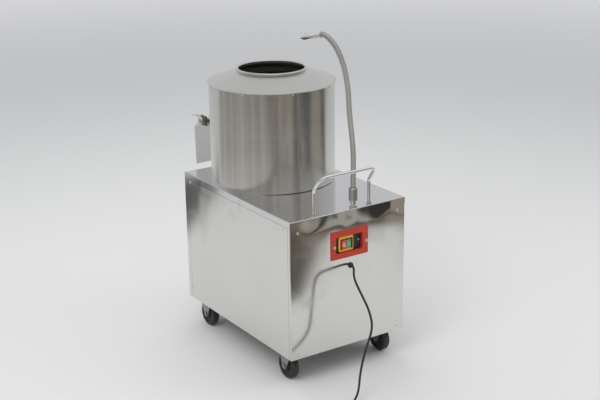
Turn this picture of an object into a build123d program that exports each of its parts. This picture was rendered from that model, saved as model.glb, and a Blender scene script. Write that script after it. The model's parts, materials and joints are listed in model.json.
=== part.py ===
"""Commercial potato peeler: a steel cabinet on castors under a peeling drum.

Millimetres, +Z up, floor at z = 0.  -Y is the side with the switch and the push
handle, +Y the side with the discharge chute.  The origin lies on the floor, under
the middle of the machine's outline.
"""

import os
from math import acos, atan2, cos, degrees, pi, radians, sin, sqrt, tan

from build123d import *

os.makedirs("parts", exist_ok=True)

# Driving dimensions of the cabinet
cabinet_width = 500.0
cabinet_length = 750.0
cabinet_height = 520.0
ground_clearance = 107.0
sheet = 1.5
seam = 1.0
overrun = 5.0
fit_gap = 0.3
running_gap = 0.05

# Driving dimensions of the drum
drum_r = 237.5
drum_wall = 1.5
drum_height = 381.0
drum_set_back = 120.0
lid_rise = 48.0
mouth_r = 124.0

# Push handle
handle_rod_r = 6.0
handle_foot_inset = 11.0
handle_grip_out = 42.0
handle_left_x = -142.0
handle_right_x = 95.0
handle_upright = 92.0
handle_rise = 148.0
handle_bend_r = 32.0
handle_elbow_r = 26.0
handle_tail = 7.0
washer_r = 11.0
washer_wall = 2.0
nut_across = 17.0
nut_height = 8.0

# Discharge chute
chute_half_width = 120.0
chute_overhang = 145.0
chute_outer_floor = 23.0
chute_end_lean = 5.0
chute_drop_angle = 19.5
chute_cheek_height = 157.0
chute_lip_r = 6.0
chute_lip_length = 78.0
chute_roll_length = 66.0
chute_lip_angle = 22.0

# Outline and the places that follow from it
front_reach = cabinet_length / 2 - handle_foot_inset + handle_grip_out + handle_rod_r
rear_reach = cabinet_length / 2 + chute_overhang
cab_y = (front_reach - rear_reach) / 2
side_x = cabinet_width / 2
front_y = cab_y - cabinet_length / 2
rear_y = cab_y + cabinet_length / 2
deck_z = ground_clearance + cabinet_height
drum_y = cab_y + drum_set_back
rim_z = deck_z + drum_height
drum_in_r = drum_r - drum_wall
drum_axis = Axis((0, drum_y, 0), (0, 0, 1))
drum_plane = Plane.XZ.offset(-drum_y)

# Deck and panels
deck_side_lip = 23.0
deck_front_lip = 4.0
deck_front_proud = 1.2
front_return = 14.0
rear_return = 25.0
front_hem = 12.0
side_hem = 6.0
screw_head_r = 4.5
screw_head_h = 2.2
screw_taper = 20.0
screw_end_inset = 43.0
screw_low = 50.0
screw_top_drop = 33.0
front_screw_x = 217.0
front_screw_low = 20.0
front_screw_top_drop = 44.0

# Steel frame inside the cabinet
angle_leg = 30.0
angle_wall = 3.0
frame_lift = 20.0
tube = 25.0
tube_wall = 2.0
pad_x = 92.0
pad_y = 112.0
pad_wall = 4.0
bearing_bar_gap = 95.0
bearing_plate_x = 230.0
bearing_plate_y = 216.0
bearing_plate_wall = 6.0
motor_bar_from_front = 300.0
upright_x = 110.0

# Castors
wheel_r = 50.0
wheel_width = 30.0
wheel_shoulder = 8.0
wheel_hub_r = 17.0
wheel_hub_half = 17.4
wheel_web_half = 8.0
wheel_rim_in_r = 34.0
castor_side_inset = 44.0
castor_end_inset = 87.0
castor_x = side_x - castor_side_inset
castor_axle_y = cabinet_length / 2 - castor_end_inset
castor_trail = 16.0
castor_plate_x = 70.0
castor_plate_y = 84.0
castor_plate_wall = 4.0
castor_race_r = 29.0
castor_race_h = 6.0
castor_crown_r = 31.0
kingpin_r = 5.0
fork_wall = 3.0
fork_gap = 18.0
fork_half = 26.0
fork_flare = 46.0
fork_boss_r = 13.0
axle_r = 5.0
axle_head_r = 8.5
axle_head_h = 4.0
bolt_r = 4.0
bolt_head_h = 5.0
castor_bolt_x = 27.5
castor_bolt_y = 35.0

# Drive line
neck_r = 38.0
neck_height = 20.0
housing_flange_r = 78.0
housing_flange_h = 12.0
housing_r = 42.0
housing_bore_r = 27.0
housing_length = 235.0
housing_bolt_r = 62.0
bearing_r = 31.0
bearing_width = 16.0
bearing_in_r = 15.0
seal_h = 6.0
spindle_foot_z = 172.0
spindle_low_r = 14.0
spindle_mid_r = 16.0
spindle_thread_r = 10.0
groove_count = 2
groove_pitch = 19.0
pulley_width = 38.0
pulley_z = 178.0
drum_pulley_r = 120.0
motor_pulley_r = 36.0
groove_depth = 14.0
groove_top_half = 8.5
groove_angle = 19.0
belt_height = 11.0
belt_top_half = 8.0
pulley_hub_r = 30.0
pulley_hub_h = 12.0
pulley_web_cut_r = 19.0
pulley_web_cut_at = 72.0
pulley_web_cuts = 6

# Motor
motor_from_front = 191.0
motor_r = 82.0
motor_foot_z = 262.0
motor_body_h = 216.0
motor_bell_h = 24.0
motor_cowl_h = 40.0
motor_fin_r = 88.0
motor_fin_wall = 3.0
motor_fins = 20
motor_shaft_r = 12.0
motor_shaft_bore = 40.0
motor_plate_wall = 6.0
motor_foot_wall = 10.0
motor_foot_x = 70.0
capacitor_r = 22.0
capacitor_h = 105.0
capacitor_turn = -36.0

# Drum inside
pan_gap = 4.0
pan_wall = 2.5
pan_collar_h = 11.0
liner_wall = 5.0
liner_foot = 45.0
liner_top_drop = 24.0
disc_r = 226.0
disc_z = 21.0
disc_wall = 12.0
disc_hub_r = 46.0
disc_hub_h = 5.0
disc_hub_taper = 20.0
disc_wave_h = 13.0
disc_wave_half = 34.0
disc_waves = 3
vane_h = 11.0
vane_wall = 5.0
vane_in_r = 60.0
vanes = 4
cap_nut_across = 30.0
cap_nut_h = 16.0
cap_nut_taper = 40.0
drain_r = 25.0
drain_wall = 1.5
drain_from_axis = 170.0
drain_bend_r = 55.0
drain_drop = 127.0
drain_z = deck_z - drain_drop
drain_out = 40.0

# Lid
lid_overhang = 5.0
lid_bead_r = 2.5
lid_skirt_h = 20.0
neck_rim_r = 4.5
neck_ring_h = 11.0
lid_screws = 8
lid_screw_drop = 10.0
lid_screw_turn = -103.5

# Gate in the chute
port_half = 104.0
port_low = 61.0
port_high = 161.0
port_corner_r = 12.0
gate_pivot_y = 314.0
gate_pivot_up = 176.0
gate_half = 112.0
gate_wall = 2.0
gate_seal = 4.0
gate_low = 57.0
gate_high = 173.0
gate_arm_wall = 4.0
gate_arm_high = 20.0
gate_pin_r = 6.0
gate_sleeve_r = 10.0
bracket_wall = 8.0
bracket_length = 43.0
bracket_height = 38.0
bracket_corner_r = 5.0
lever_wall = 3.0
lever_width = 16.0
lever_reach = 64.0
lever_rise = 19.0
lever_hub_r = 12.0

# Gooseneck water spout
spout_x = 28.0
spout_inset = 14.0
spout_lean_share = 0.06
tail_r = 8.4
tail_drop = 60.0
barb_r = 7.4
barb_length = 26.0
nipple_r = 10.5
nipple_h = 26.0
nipple_nut_across = 27.0
nipple_nut_h = 9.0
water_bore_r = 4.5
spigot_r = 7.0
spigot_h = 36.0
ferrule_r = 15.0
ferrule_h = 46.0
ferrule_bevel = 3.0
hose_route_steps = (
    (0, 0),
    (0, 147),
    (16.5, 240),
    (26.5, 357),
    (57.5, 455),
    (94, 494),
    (129, 538.5),
    (173, 529),
)
hose_bend_radii = (500, 950, 430, 112, 380, 60)
hose_r = 9.5
hose_bore_r = 5.5
nozzle_body_r = 9.0
nozzle_collar_r = 11.0
nozzle_collar = 13.0
nozzle_body = 78.0
nozzle_tip_r = 8.0
nozzle_tip = 11.0

# Switch
tray_x = 1.5
tray_z = 396.0
tray_width = 163.0
tray_height = 106.0
tray_wall = 2.0
tray_corner_r = 3.0
window_width = 116.0
window_height = 62.0
window_x = 1.0
window_z = 394.0
window_corner_r = 7.0
recess_depth = 12.0
switch_depth = 48.0
switch_flange = 3.0
bezel_width = 63.0
bezel_height = 56.0
bezel_x = -9.0
bezel_wall = 5.0
bezel_z = 394.0
bezel_tab_x = -2.0
bezel_tab_r = 6.0
bezel_screw_rise = 23.5
bezel_corner_r = 6.0
button_width = 18.8
button_height = 34.0
button_pitch = 20.0
button_pair_x = -9.0
button_z = 390.5
button_travel = 3.0
button_proud = 2.5
button_stem = 9.0
button_corner_r = 2.0
tray_screw_left = -63.0
tray_screw_right = 76.0
tray_screw_z = 390.0
tray_screw_r = 5.5
tray_screw_h = 2.5
body_screw_x = 49.0
body_screw_z = 396.0
small_screw_r = 2.6
small_screw_h = 1.2

# Mains cord
cord_r = 4.0
gland_x = 7.0
gland_z = 309.5
gland_length = 12.0
gland_r = 9.0
gland_collar_r = 10.5
gland_collar_h = 3.0
gland_inside = 12.0
gland_tip_wall = 1.5
cord_bend_share = 0.45
cord_gap = 0.6
coil_outer_r = 51.0
coil_half_turns = 9
coil_samples = 700
coil_tail = 24.0
plug_length = 46.0
plug_width = 38.0
plug_corner_r = 8.0
plug_relief = 26.0
plug_relief_r = 7.0
plug_pin_length = 18.0
plug_pin_width = 6.3
plug_pin_wall = 1.6
plug_pin_out = 7.9
plug_pin_angle = 30.0
plug_earth_drop = 7.9


def save(piece, name):
    """Labels a finished piece and writes its STEP file."""
    piece.part.label = name
    export_step(piece.part, f"parts/{name}.step")


# Folded deck
deck_hole_r = neck_r + 2 * running_gap + sheet
nipple_y = front_y + spout_inset
handle_y = front_y + handle_foot_inset
handle_x = (handle_left_x, handle_right_x)
drain_y = drum_y + drain_from_axis
with BuildPart() as top_deck:
    with BuildSketch(Plane.XY.offset(deck_z - sheet)):
        with Locations((0, cab_y - deck_front_proud / 2)):
            Rectangle(cabinet_width, cabinet_length + deck_front_proud)
    extrude(amount=sheet)
    with BuildSketch(Plane.XY.offset(deck_z - deck_side_lip)):
        with Locations((-side_x + sheet / 2, cab_y), (side_x - sheet / 2, cab_y)):
            Rectangle(sheet, cabinet_length)
    extrude(amount=deck_side_lip)
    with BuildSketch(Plane.XY.offset(deck_z - deck_front_lip)):
        with Locations((0, front_y - deck_front_proud / 2)):
            Rectangle(cabinet_width, deck_front_proud)
    extrude(amount=deck_front_lip)
    with BuildSketch(Plane.XY.offset(deck_z)):
        with Locations((0, drum_y)):
            Circle(deck_hole_r)
        with Locations((0, drain_y)):
            Circle(drain_r + sheet)
        with Locations((spout_x, nipple_y)):
            Circle(tail_r + fit_gap)
        with Locations(*[(x, handle_y) for x in handle_x]):
            Circle(handle_rod_r + fit_gap)
    extrude(amount=-sheet - overrun, mode=Mode.SUBTRACT)
save(top_deck, "top_deck")

# Front panel with its side returns and bottom hem
panel_top = deck_z - sheet
return_top = deck_z - deck_side_lip - seam
with BuildPart() as front_panel:
    with BuildSketch(Plane.XY.offset(ground_clearance)):
        with Locations((0, front_y + sheet / 2)):
            Rectangle(cabinet_width - 2 * sheet, sheet)
    extrude(amount=panel_top - ground_clearance)
    with BuildSketch(Plane.XY.offset(ground_clearance)):
        for side in (-1, 1):
            with Locations((side * (side_x - sheet / 2), front_y + front_return / 2)):
                Rectangle(sheet, front_return)
    extrude(amount=return_top - ground_clearance)
    with BuildSketch(Plane.XY.offset(ground_clearance)):
        with Locations((0, front_y + front_hem / 2)):
            Rectangle(cabinet_width - 2 * sheet, front_hem)
    extrude(amount=sheet)
    with BuildSketch(Plane.XZ.offset(-front_y + overrun)):
        with Locations((window_x, ground_clearance + window_z)):
            Rectangle(window_width + 2 * tray_wall, window_height + 2 * tray_wall)
        with Locations((gland_x, ground_clearance + gland_z)):
            Circle(gland_r + fit_gap)
    extrude(amount=-sheet - 2 * overrun, mode=Mode.SUBTRACT)
save(front_panel, "front_panel")

# Rear panel with its side returns
with BuildPart() as rear_panel:
    with BuildSketch(Plane.XY.offset(ground_clearance)):
        with Locations((0, rear_y - sheet / 2)):
            Rectangle(cabinet_width - 2 * sheet, sheet)
    extrude(amount=panel_top - ground_clearance)
    with BuildSketch(Plane.XY.offset(ground_clearance)):
        for side in (-1, 1):
            with Locations((side * (side_x - sheet / 2), rear_y - rear_return / 2)):
                Rectangle(sheet, rear_return)
    extrude(amount=return_top - ground_clearance)
    with BuildSketch(Plane.XY.offset(ground_clearance)):
        with Locations((0, rear_y - front_hem / 2)):
            Rectangle(cabinet_width - 2 * sheet, front_hem)
    extrude(amount=sheet)
    with BuildSketch(Plane.XZ.offset(-rear_y + overrun)):
        with Locations((0, drain_z)):
            Circle(drain_r + sheet)
    extrude(amount=-sheet - 2 * overrun, mode=Mode.SUBTRACT)
save(rear_panel, "rear_panel")

# Side panels, set flush between the folded edges
side_front_y = front_y + front_return + seam
side_rear_y = rear_y - rear_return - seam
side_length = side_rear_y - side_front_y
side_mid_y = (side_front_y + side_rear_y) / 2
for side, name in ((-1, "left_side_panel"), (1, "right_side_panel")):
    with BuildPart() as side_panel:
        with BuildSketch(Plane.XY.offset(ground_clearance)):
            with Locations((side * (side_x - sheet / 2), side_mid_y)):
                Rectangle(sheet, side_length)
        extrude(amount=return_top - ground_clearance)
        with BuildSketch(Plane.XY.offset(ground_clearance)):
            with Locations((side * (side_x - side_hem / 2), side_mid_y)):
                Rectangle(side_hem, side_length)
        extrude(amount=sheet)
    save(side_panel, name)

# Panel screws: front, rear and both sides
screw_z_low = ground_clearance + screw_low
screw_z_top = deck_z - screw_top_drop
side_screw_y = (front_y + screw_end_inset, rear_y - screw_end_inset)
front_screw_z = ground_clearance + front_screw_low
front_screw_top = deck_z - front_screw_top_drop
front_rows = [(x, front_screw_z) for x in (-front_screw_x, 0, front_screw_x)]
front_rows += [(x, front_screw_top) for x in (-front_screw_x, front_screw_x)]
with BuildPart() as panel_screws:
    for side in (-1, 1):
        with BuildSketch(Plane.YZ.offset(side * side_x)):
            with Locations(*[(y, z) for y in side_screw_y for z in (screw_z_low, screw_z_top)]):
                Circle(screw_head_r)
        extrude(amount=side * screw_head_h, taper=screw_taper)
    with BuildSketch(Plane.XZ.offset(-front_y)):
        with Locations(*front_rows):
            Circle(screw_head_r)
    extrude(amount=screw_head_h, taper=screw_taper)
    with BuildSketch(Plane.XZ.offset(-rear_y)):
        with Locations(*front_rows):
            Circle(screw_head_r)
    extrude(amount=-screw_head_h, taper=screw_taper)
save(panel_screws, "panel_screws")

# Base frame: a welded ring of angle with a pad in each corner
frame_x = cabinet_width - 2 * sheet
frame_y = cabinet_length - 2 * sheet
base_z = ground_clearance + frame_lift
pad_places = [
    (side * (frame_x - pad_x) / 2, cab_y + end * (frame_y - pad_y) / 2)
    for side in (-1, 1)
    for end in (-1, 1)
]
front_pivot_y = cab_y - castor_axle_y - castor_trail
rear_axle_y = cab_y + castor_axle_y
castor_places = [(side * castor_x, y) for side in (-1, 1) for y in (front_pivot_y, rear_axle_y)]
castor_bolts_xy = [
    (x + bx * castor_bolt_x, y + by * castor_bolt_y)
    for x, y in castor_places
    for bx in (-1, 1)
    for by in (-1, 1)
]
with BuildPart() as base_frame:
    with BuildSketch(Plane.XY.offset(base_z)):
        with Locations((0, cab_y)):
            Rectangle(frame_x, frame_y)
            Rectangle(frame_x - 2 * angle_leg, frame_y - 2 * angle_leg, mode=Mode.SUBTRACT)
    extrude(amount=angle_wall)
    with BuildSketch(Plane.XY.offset(base_z)):
        with Locations((0, cab_y)):
            Rectangle(frame_x, frame_y)
            Rectangle(frame_x - 2 * angle_wall, frame_y - 2 * angle_wall, mode=Mode.SUBTRACT)
    extrude(amount=angle_leg)
    with BuildSketch(Plane.XY.offset(base_z)):
        with Locations(*pad_places):
            Rectangle(pad_x, pad_y)
    extrude(amount=-pad_wall)
    with BuildSketch(Plane.XY.offset(base_z + angle_wall)):
        with Locations(*castor_bolts_xy):
            Circle(bolt_r + fit_gap)
    extrude(amount=-angle_wall - pad_wall - overrun, mode=Mode.SUBTRACT)
save(base_frame, "base_frame")

# Corner posts and the top ring under the deck
post_low = base_z + angle_leg
ring_top = deck_z - sheet
post_high = ring_top - angle_leg
with BuildPart() as corner_posts:
    with BuildSketch(Plane.XY.offset(post_low)):
        for side in (-1, 1):
            for end in (-1, 1):
                corner_x = side * frame_x / 2
                corner_y = cab_y + end * frame_y / 2
                with Locations((corner_x - side * angle_leg / 2, corner_y - end * angle_wall / 2)):
                    Rectangle(angle_leg, angle_wall)
                with Locations((corner_x - side * angle_wall / 2, corner_y - end * angle_leg / 2)):
                    Rectangle(angle_wall, angle_leg)
    extrude(amount=post_high - post_low)
save(corner_posts, "corner_posts")

with BuildPart() as top_ring:
    with BuildSketch(Plane.XY.offset(ring_top)):
        with Locations((0, cab_y)):
            Rectangle(frame_x, frame_y)
            Rectangle(frame_x - 2 * angle_leg, frame_y - 2 * angle_leg, mode=Mode.SUBTRACT)
    extrude(amount=-angle_wall)
    with BuildSketch(Plane.XY.offset(ring_top)):
        with Locations((0, cab_y)):
            Rectangle(frame_x, frame_y)
            Rectangle(frame_x - 2 * angle_wall, frame_y - 2 * angle_wall, mode=Mode.SUBTRACT)
    extrude(amount=-angle_leg)
    with BuildSketch(Plane.XY.offset(ring_top)):
        with Locations((spout_x, nipple_y)):
            Circle(tail_r)
        with Locations(*[(x, handle_y) for x in handle_x]):
            Circle(handle_rod_r)
    extrude(amount=-angle_wall - overrun, mode=Mode.SUBTRACT)
save(top_ring, "top_ring")

# Cross bars: two for the bearing plate, two and a pair of uprights for the motor
bar_length = frame_x - 2 * angle_wall
bar_top = ring_top - angle_wall
motor_bar_y = front_y + motor_bar_from_front
low_bar_z = base_z + angle_wall
upright_low = low_bar_z + tube
bar_places = (
    (drum_y - bearing_bar_gap, bar_top - tube),
    (drum_y + bearing_bar_gap, bar_top - tube),
    (motor_bar_y, bar_top - tube),
    (motor_bar_y, low_bar_z),
)
with BuildPart() as cross_bars:
    with BuildSketch(Plane.YZ.offset(-bar_length / 2)):
        for y, z in bar_places:
            with Locations((y, z + tube / 2)):
                Rectangle(tube, tube)
                Rectangle(tube - 2 * tube_wall, tube - 2 * tube_wall, mode=Mode.SUBTRACT)
    extrude(amount=bar_length)
    with BuildSketch(Plane.XY.offset(upright_low)):
        for side in (-1, 1):
            with Locations((side * upright_x, motor_bar_y)):
                Rectangle(tube, tube)
                Rectangle(tube - 2 * tube_wall, tube - 2 * tube_wall, mode=Mode.SUBTRACT)
    extrude(amount=bar_top - tube - upright_low)
save(cross_bars, "cross_bars")

# Castor plates with their races, and the bolts that hold them
plate_z = base_z - pad_wall
race_z = plate_z - castor_plate_wall - castor_race_h
with BuildPart() as castor_plates:
    with BuildSketch(Plane.XY.offset(plate_z)):
        with Locations(*[(side * castor_x, front_pivot_y) for side in (-1, 1)]):
            RectangleRounded(castor_plate_x, castor_plate_y, castor_bolt_x / 4)
    extrude(amount=-castor_plate_wall)
    with BuildSketch(Plane.XY.offset(race_z)):
        with Locations(*[(side * castor_x, front_pivot_y) for side in (-1, 1)]):
            Circle(castor_race_r)
    extrude(amount=castor_race_h)
    with BuildSketch(Plane.XY.offset(race_z)):
        with Locations(*[(side * castor_x, front_pivot_y) for side in (-1, 1)]):
            Circle(kingpin_r + running_gap)
    extrude(amount=castor_race_h + castor_plate_wall + overrun, mode=Mode.SUBTRACT)
    with BuildSketch(Plane.XY.offset(plate_z)):
        with Locations(*[p for p in castor_bolts_xy if p[1] < cab_y]):
            Circle(bolt_r + fit_gap)
    extrude(amount=-castor_plate_wall - overrun, mode=Mode.SUBTRACT)
save(castor_plates, "castor_plates")

with BuildPart() as castor_bolts:
    with BuildSketch(Plane.XY.offset(plate_z - castor_plate_wall)):
        with Locations(*castor_bolts_xy):
            RegularPolygon(bolt_r * 1.6, 6)
    extrude(amount=-bolt_head_h)
    with BuildSketch(Plane.XY.offset(plate_z - castor_plate_wall)):
        with Locations(*castor_bolts_xy):
            Circle(bolt_r)
    extrude(amount=castor_plate_wall + pad_wall + angle_wall + bolt_head_h)
save(castor_bolts, "castor_bolts")

# Swivelling front forks and fixed rear forks
axle_z = wheel_r
crown_z = race_z - fit_gap
fork_cut_z = ground_clearance - overrun


def axle_bolt(x, y):
    """Returns an axle bolt with its head and nut, for the fork at x, y."""
    with BuildPart() as bolt:
        with BuildSketch(Plane.YZ.offset(x - fork_gap - fork_wall)):
            with Locations((y, axle_z)):
                Circle(axle_r)
        extrude(amount=2 * (fork_gap + fork_wall))
        for end in (-1, 1):
            with BuildSketch(Plane.YZ.offset(x + end * (fork_gap + fork_wall))):
                with Locations((y, axle_z)):
                    RegularPolygon(axle_head_r, 6)
            extrude(amount=end * axle_head_h)
    return bolt.part


for side, name in ((-1, "front_left_fork"), (1, "front_right_fork")):
    fork_x = side * castor_x
    axle_y = front_pivot_y + castor_trail
    bolt = axle_bolt(fork_x, axle_y)
    with BuildPart() as fork:
        with BuildSketch(Plane.XY.offset(crown_z)):
            with Locations((fork_x, front_pivot_y)):
                Circle(castor_crown_r)
        extrude(amount=-fork_wall)
        with BuildSketch(Plane.XY.offset(crown_z)):
            with Locations((fork_x, front_pivot_y)):
                Circle(kingpin_r)
        extrude(amount=castor_race_h + castor_plate_wall)
        for leg in (-1, 1):
            leg_x = fork_x + leg * (fork_gap + fork_wall / 2) - fork_wall / 2
            with BuildSketch(Plane.YZ.offset(leg_x)):
                with BuildLine():
                    Polyline(
                        (front_pivot_y - fork_half * cos(pi / 6), crown_z),
                        (front_pivot_y + fork_half * cos(pi / 6), crown_z),
                        (front_pivot_y + fork_half * cos(pi / 6), fork_cut_z + fork_wall),
                        (front_pivot_y + fork_flare, fork_cut_z),
                        (axle_y + fork_boss_r * cos(pi / 8), axle_z - fork_boss_r * sin(pi / 8)),
                        (axle_y - fork_boss_r * cos(pi / 8), axle_z - fork_boss_r * sin(pi / 8)),
                        (front_pivot_y - fork_half, fork_cut_z),
                        close=True,
                    )
                make_face()
                with Locations((axle_y, axle_z)):
                    Circle(fork_boss_r)
            extrude(amount=fork_wall)
        add(bolt)
    save(fork, name)

rear_leg_half = castor_plate_y / 2 - fork_wall
rear_bolts = [axle_bolt(side * castor_x, rear_axle_y) for side in (-1, 1)]
with BuildPart() as rear_forks:
    for side, bolt in zip((-1, 1), rear_bolts):
        fork_x = side * castor_x
        with BuildSketch(Plane.XY.offset(plate_z)):
            with Locations((fork_x, rear_axle_y)):
                RectangleRounded(castor_plate_x, castor_plate_y, castor_bolt_x / 4)
        extrude(amount=-castor_plate_wall)
        for leg in (-1, 1):
            leg_x = fork_x + leg * (fork_gap + fork_wall / 2) - fork_wall / 2
            with BuildSketch(Plane.YZ.offset(leg_x)):
                with BuildLine():
                    Polyline(
                        (rear_axle_y - rear_leg_half, plate_z - castor_plate_wall / 2),
                        (rear_axle_y + rear_leg_half, plate_z - castor_plate_wall / 2),
                        (rear_axle_y + rear_leg_half, fork_cut_z),
                        (rear_axle_y + fork_boss_r * cos(pi / 8), axle_z - fork_boss_r * sin(pi / 8)),
                        (rear_axle_y - fork_boss_r * cos(pi / 8), axle_z - fork_boss_r * sin(pi / 8)),
                        (rear_axle_y - rear_leg_half, fork_cut_z),
                        close=True,
                    )
                make_face()
                with Locations((rear_axle_y, axle_z)):
                    Circle(fork_boss_r)
            extrude(amount=fork_wall)
        add(bolt)
    with BuildSketch(Plane.XY.offset(plate_z)):
        with Locations(*[p for p in castor_bolts_xy if p[1] > cab_y]):
            Circle(bolt_r + fit_gap)
    extrude(amount=-castor_plate_wall - overrun, mode=Mode.SUBTRACT)
save(rear_forks, "rear_forks")

# Wheels: rounded rubber tread over a webbed hub
half_tread = wheel_width / 2
wheels = (
    ("front_left_wheel", -castor_x, front_pivot_y + castor_trail),
    ("front_right_wheel", castor_x, front_pivot_y + castor_trail),
    ("rear_left_wheel", -castor_x, rear_axle_y),
    ("rear_right_wheel", castor_x, rear_axle_y),
)
for name, wheel_x, wheel_y in wheels:
    with BuildPart() as wheel:
        with BuildSketch(Plane((wheel_x, wheel_y, axle_z))):
            with BuildLine():
                Polyline(
                    (-wheel_hub_half, axle_r + running_gap),
                    (wheel_hub_half, axle_r + running_gap),
                    (wheel_hub_half, wheel_hub_r),
                    (wheel_web_half, wheel_hub_r + wheel_web_half / 2),
                    (wheel_web_half, wheel_rim_in_r),
                    (half_tread, wheel_rim_in_r + wheel_web_half / 2),
                    (half_tread, wheel_r - wheel_shoulder),
                )
                RadiusArc(
                    (half_tread, wheel_r - wheel_shoulder),
                    (half_tread - wheel_shoulder, wheel_r),
                    -wheel_shoulder,
                )
                Line((half_tread - wheel_shoulder, wheel_r), (wheel_shoulder - half_tread, wheel_r))
                RadiusArc(
                    (wheel_shoulder - half_tread, wheel_r),
                    (-half_tread, wheel_r - wheel_shoulder),
                    -wheel_shoulder,
                )
                Polyline(
                    (-half_tread, wheel_r - wheel_shoulder),
                    (-half_tread, wheel_rim_in_r + wheel_web_half / 2),
                    (-wheel_web_half, wheel_rim_in_r),
                    (-wheel_web_half, wheel_hub_r + wheel_web_half / 2),
                    (-wheel_hub_half, wheel_hub_r),
                    (-wheel_hub_half, axle_r + running_gap),
                )
            make_face()
        revolve(axis=Axis((0, wheel_y, axle_z), (1, 0, 0)))
    save(wheel, name)

# Bearing plate under the cross bars, and the cast bearing housing through it
plate_top = bar_top - tube
housing_top = plate_top + housing_flange_h
neck_top = deck_z + neck_height
housing_low = plate_top - housing_length
bearing_high_z = neck_top - seal_h - 2 * running_gap - bearing_width
with BuildPart() as bearing_plate:
    with BuildSketch(Plane.XY.offset(plate_top)):
        with Locations((0, drum_y)):
            Rectangle(bearing_plate_x, bearing_plate_y)
            Circle(housing_r + fit_gap, mode=Mode.SUBTRACT)
            with PolarLocations(housing_bolt_r, 4, start_angle=45):
                Circle(axle_r + fit_gap, mode=Mode.SUBTRACT)
    extrude(amount=-bearing_plate_wall)
save(bearing_plate, "bearing_plate")

with BuildPart() as bearing_housing:
    with BuildSketch(drum_plane):
        with BuildLine():
            Polyline(
                (bearing_r, housing_low),
                (housing_r, housing_low),
                (housing_r, plate_top),
                (housing_flange_r, plate_top),
                (housing_flange_r, housing_top),
                (neck_r, housing_top),
                (neck_r, neck_top),
                (bearing_r, neck_top),
                (bearing_r, bearing_high_z),
                (housing_bore_r, bearing_high_z),
                (housing_bore_r, housing_low + bearing_width),
                (bearing_r, housing_low + bearing_width),
                close=True,
            )
        make_face()
    revolve(axis=drum_axis)
    with BuildSketch(Plane.XY.offset(housing_top)):
        with Locations((0, drum_y)):
            with PolarLocations(housing_bolt_r, 4, start_angle=45):
                Circle(axle_r + fit_gap)
    extrude(amount=-housing_flange_h, mode=Mode.SUBTRACT)
save(bearing_housing, "bearing_housing")

with BuildPart() as housing_bolts:
    with BuildSketch(Plane.XY.offset(housing_top)):
        with Locations((0, drum_y)):
            with PolarLocations(housing_bolt_r, 4, start_angle=45):
                RegularPolygon(axle_head_r, 6)
    extrude(amount=bolt_head_h)
    with BuildSketch(Plane.XY.offset(housing_top)):
        with Locations((0, drum_y)):
            with PolarLocations(housing_bolt_r, 4, start_angle=45):
                Circle(axle_r)
    extrude(amount=-housing_flange_h - bearing_plate_wall)
    with BuildSketch(Plane.XY.offset(plate_top - bearing_plate_wall)):
        with Locations((0, drum_y)):
            with PolarLocations(housing_bolt_r, 4, start_angle=45):
                RegularPolygon(axle_head_r, 6)
    extrude(amount=-bolt_head_h)
save(housing_bolts, "housing_bolts")

with BuildPart() as spindle_bearings:
    with BuildSketch(drum_plane):
        for low in (bearing_high_z, housing_low):
            with BuildLine():
                Polyline(
                    (bearing_in_r + running_gap, low),
                    (bearing_r, low),
                    (bearing_r, low + bearing_width),
                    (bearing_in_r + running_gap, low + bearing_width),
                    close=True,
                )
            make_face()
    revolve(axis=drum_axis)
save(spindle_bearings, "spindle_bearings")

with BuildPart() as shaft_seal:
    with BuildSketch(Plane.XY.offset(neck_top)):
        with Locations((0, drum_y)):
            Circle(bearing_r)
            Circle(bearing_in_r + running_gap, mode=Mode.SUBTRACT)
    extrude(amount=-seal_h)
save(shaft_seal, "shaft_seal")

# Spindle, stepped for the pulley, the two bearings and the disc
disc_low = deck_z + disc_z
disc_hub_top = disc_low + disc_wall + disc_hub_h
spindle_top = disc_hub_top + cap_nut_h - overrun
with BuildPart() as spindle:
    with BuildSketch(drum_plane):
        with BuildLine():
            Polyline(
                (0, spindle_foot_z),
                (spindle_low_r, spindle_foot_z),
                (spindle_low_r, housing_low - overrun),
                (bearing_in_r, housing_low - overrun),
                (bearing_in_r, housing_low + bearing_width + overrun),
                (spindle_mid_r, housing_low + bearing_width + overrun),
                (spindle_mid_r, bearing_high_z - overrun),
                (bearing_in_r, bearing_high_z - overrun),
                (bearing_in_r, disc_low),
                (spindle_low_r, disc_low),
                (spindle_low_r, disc_hub_top),
                (spindle_thread_r, disc_hub_top),
                (spindle_thread_r, spindle_top),
                (0, spindle_top),
                close=True,
            )
        make_face()
    revolve(axis=drum_axis)
save(spindle, "spindle")

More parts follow.
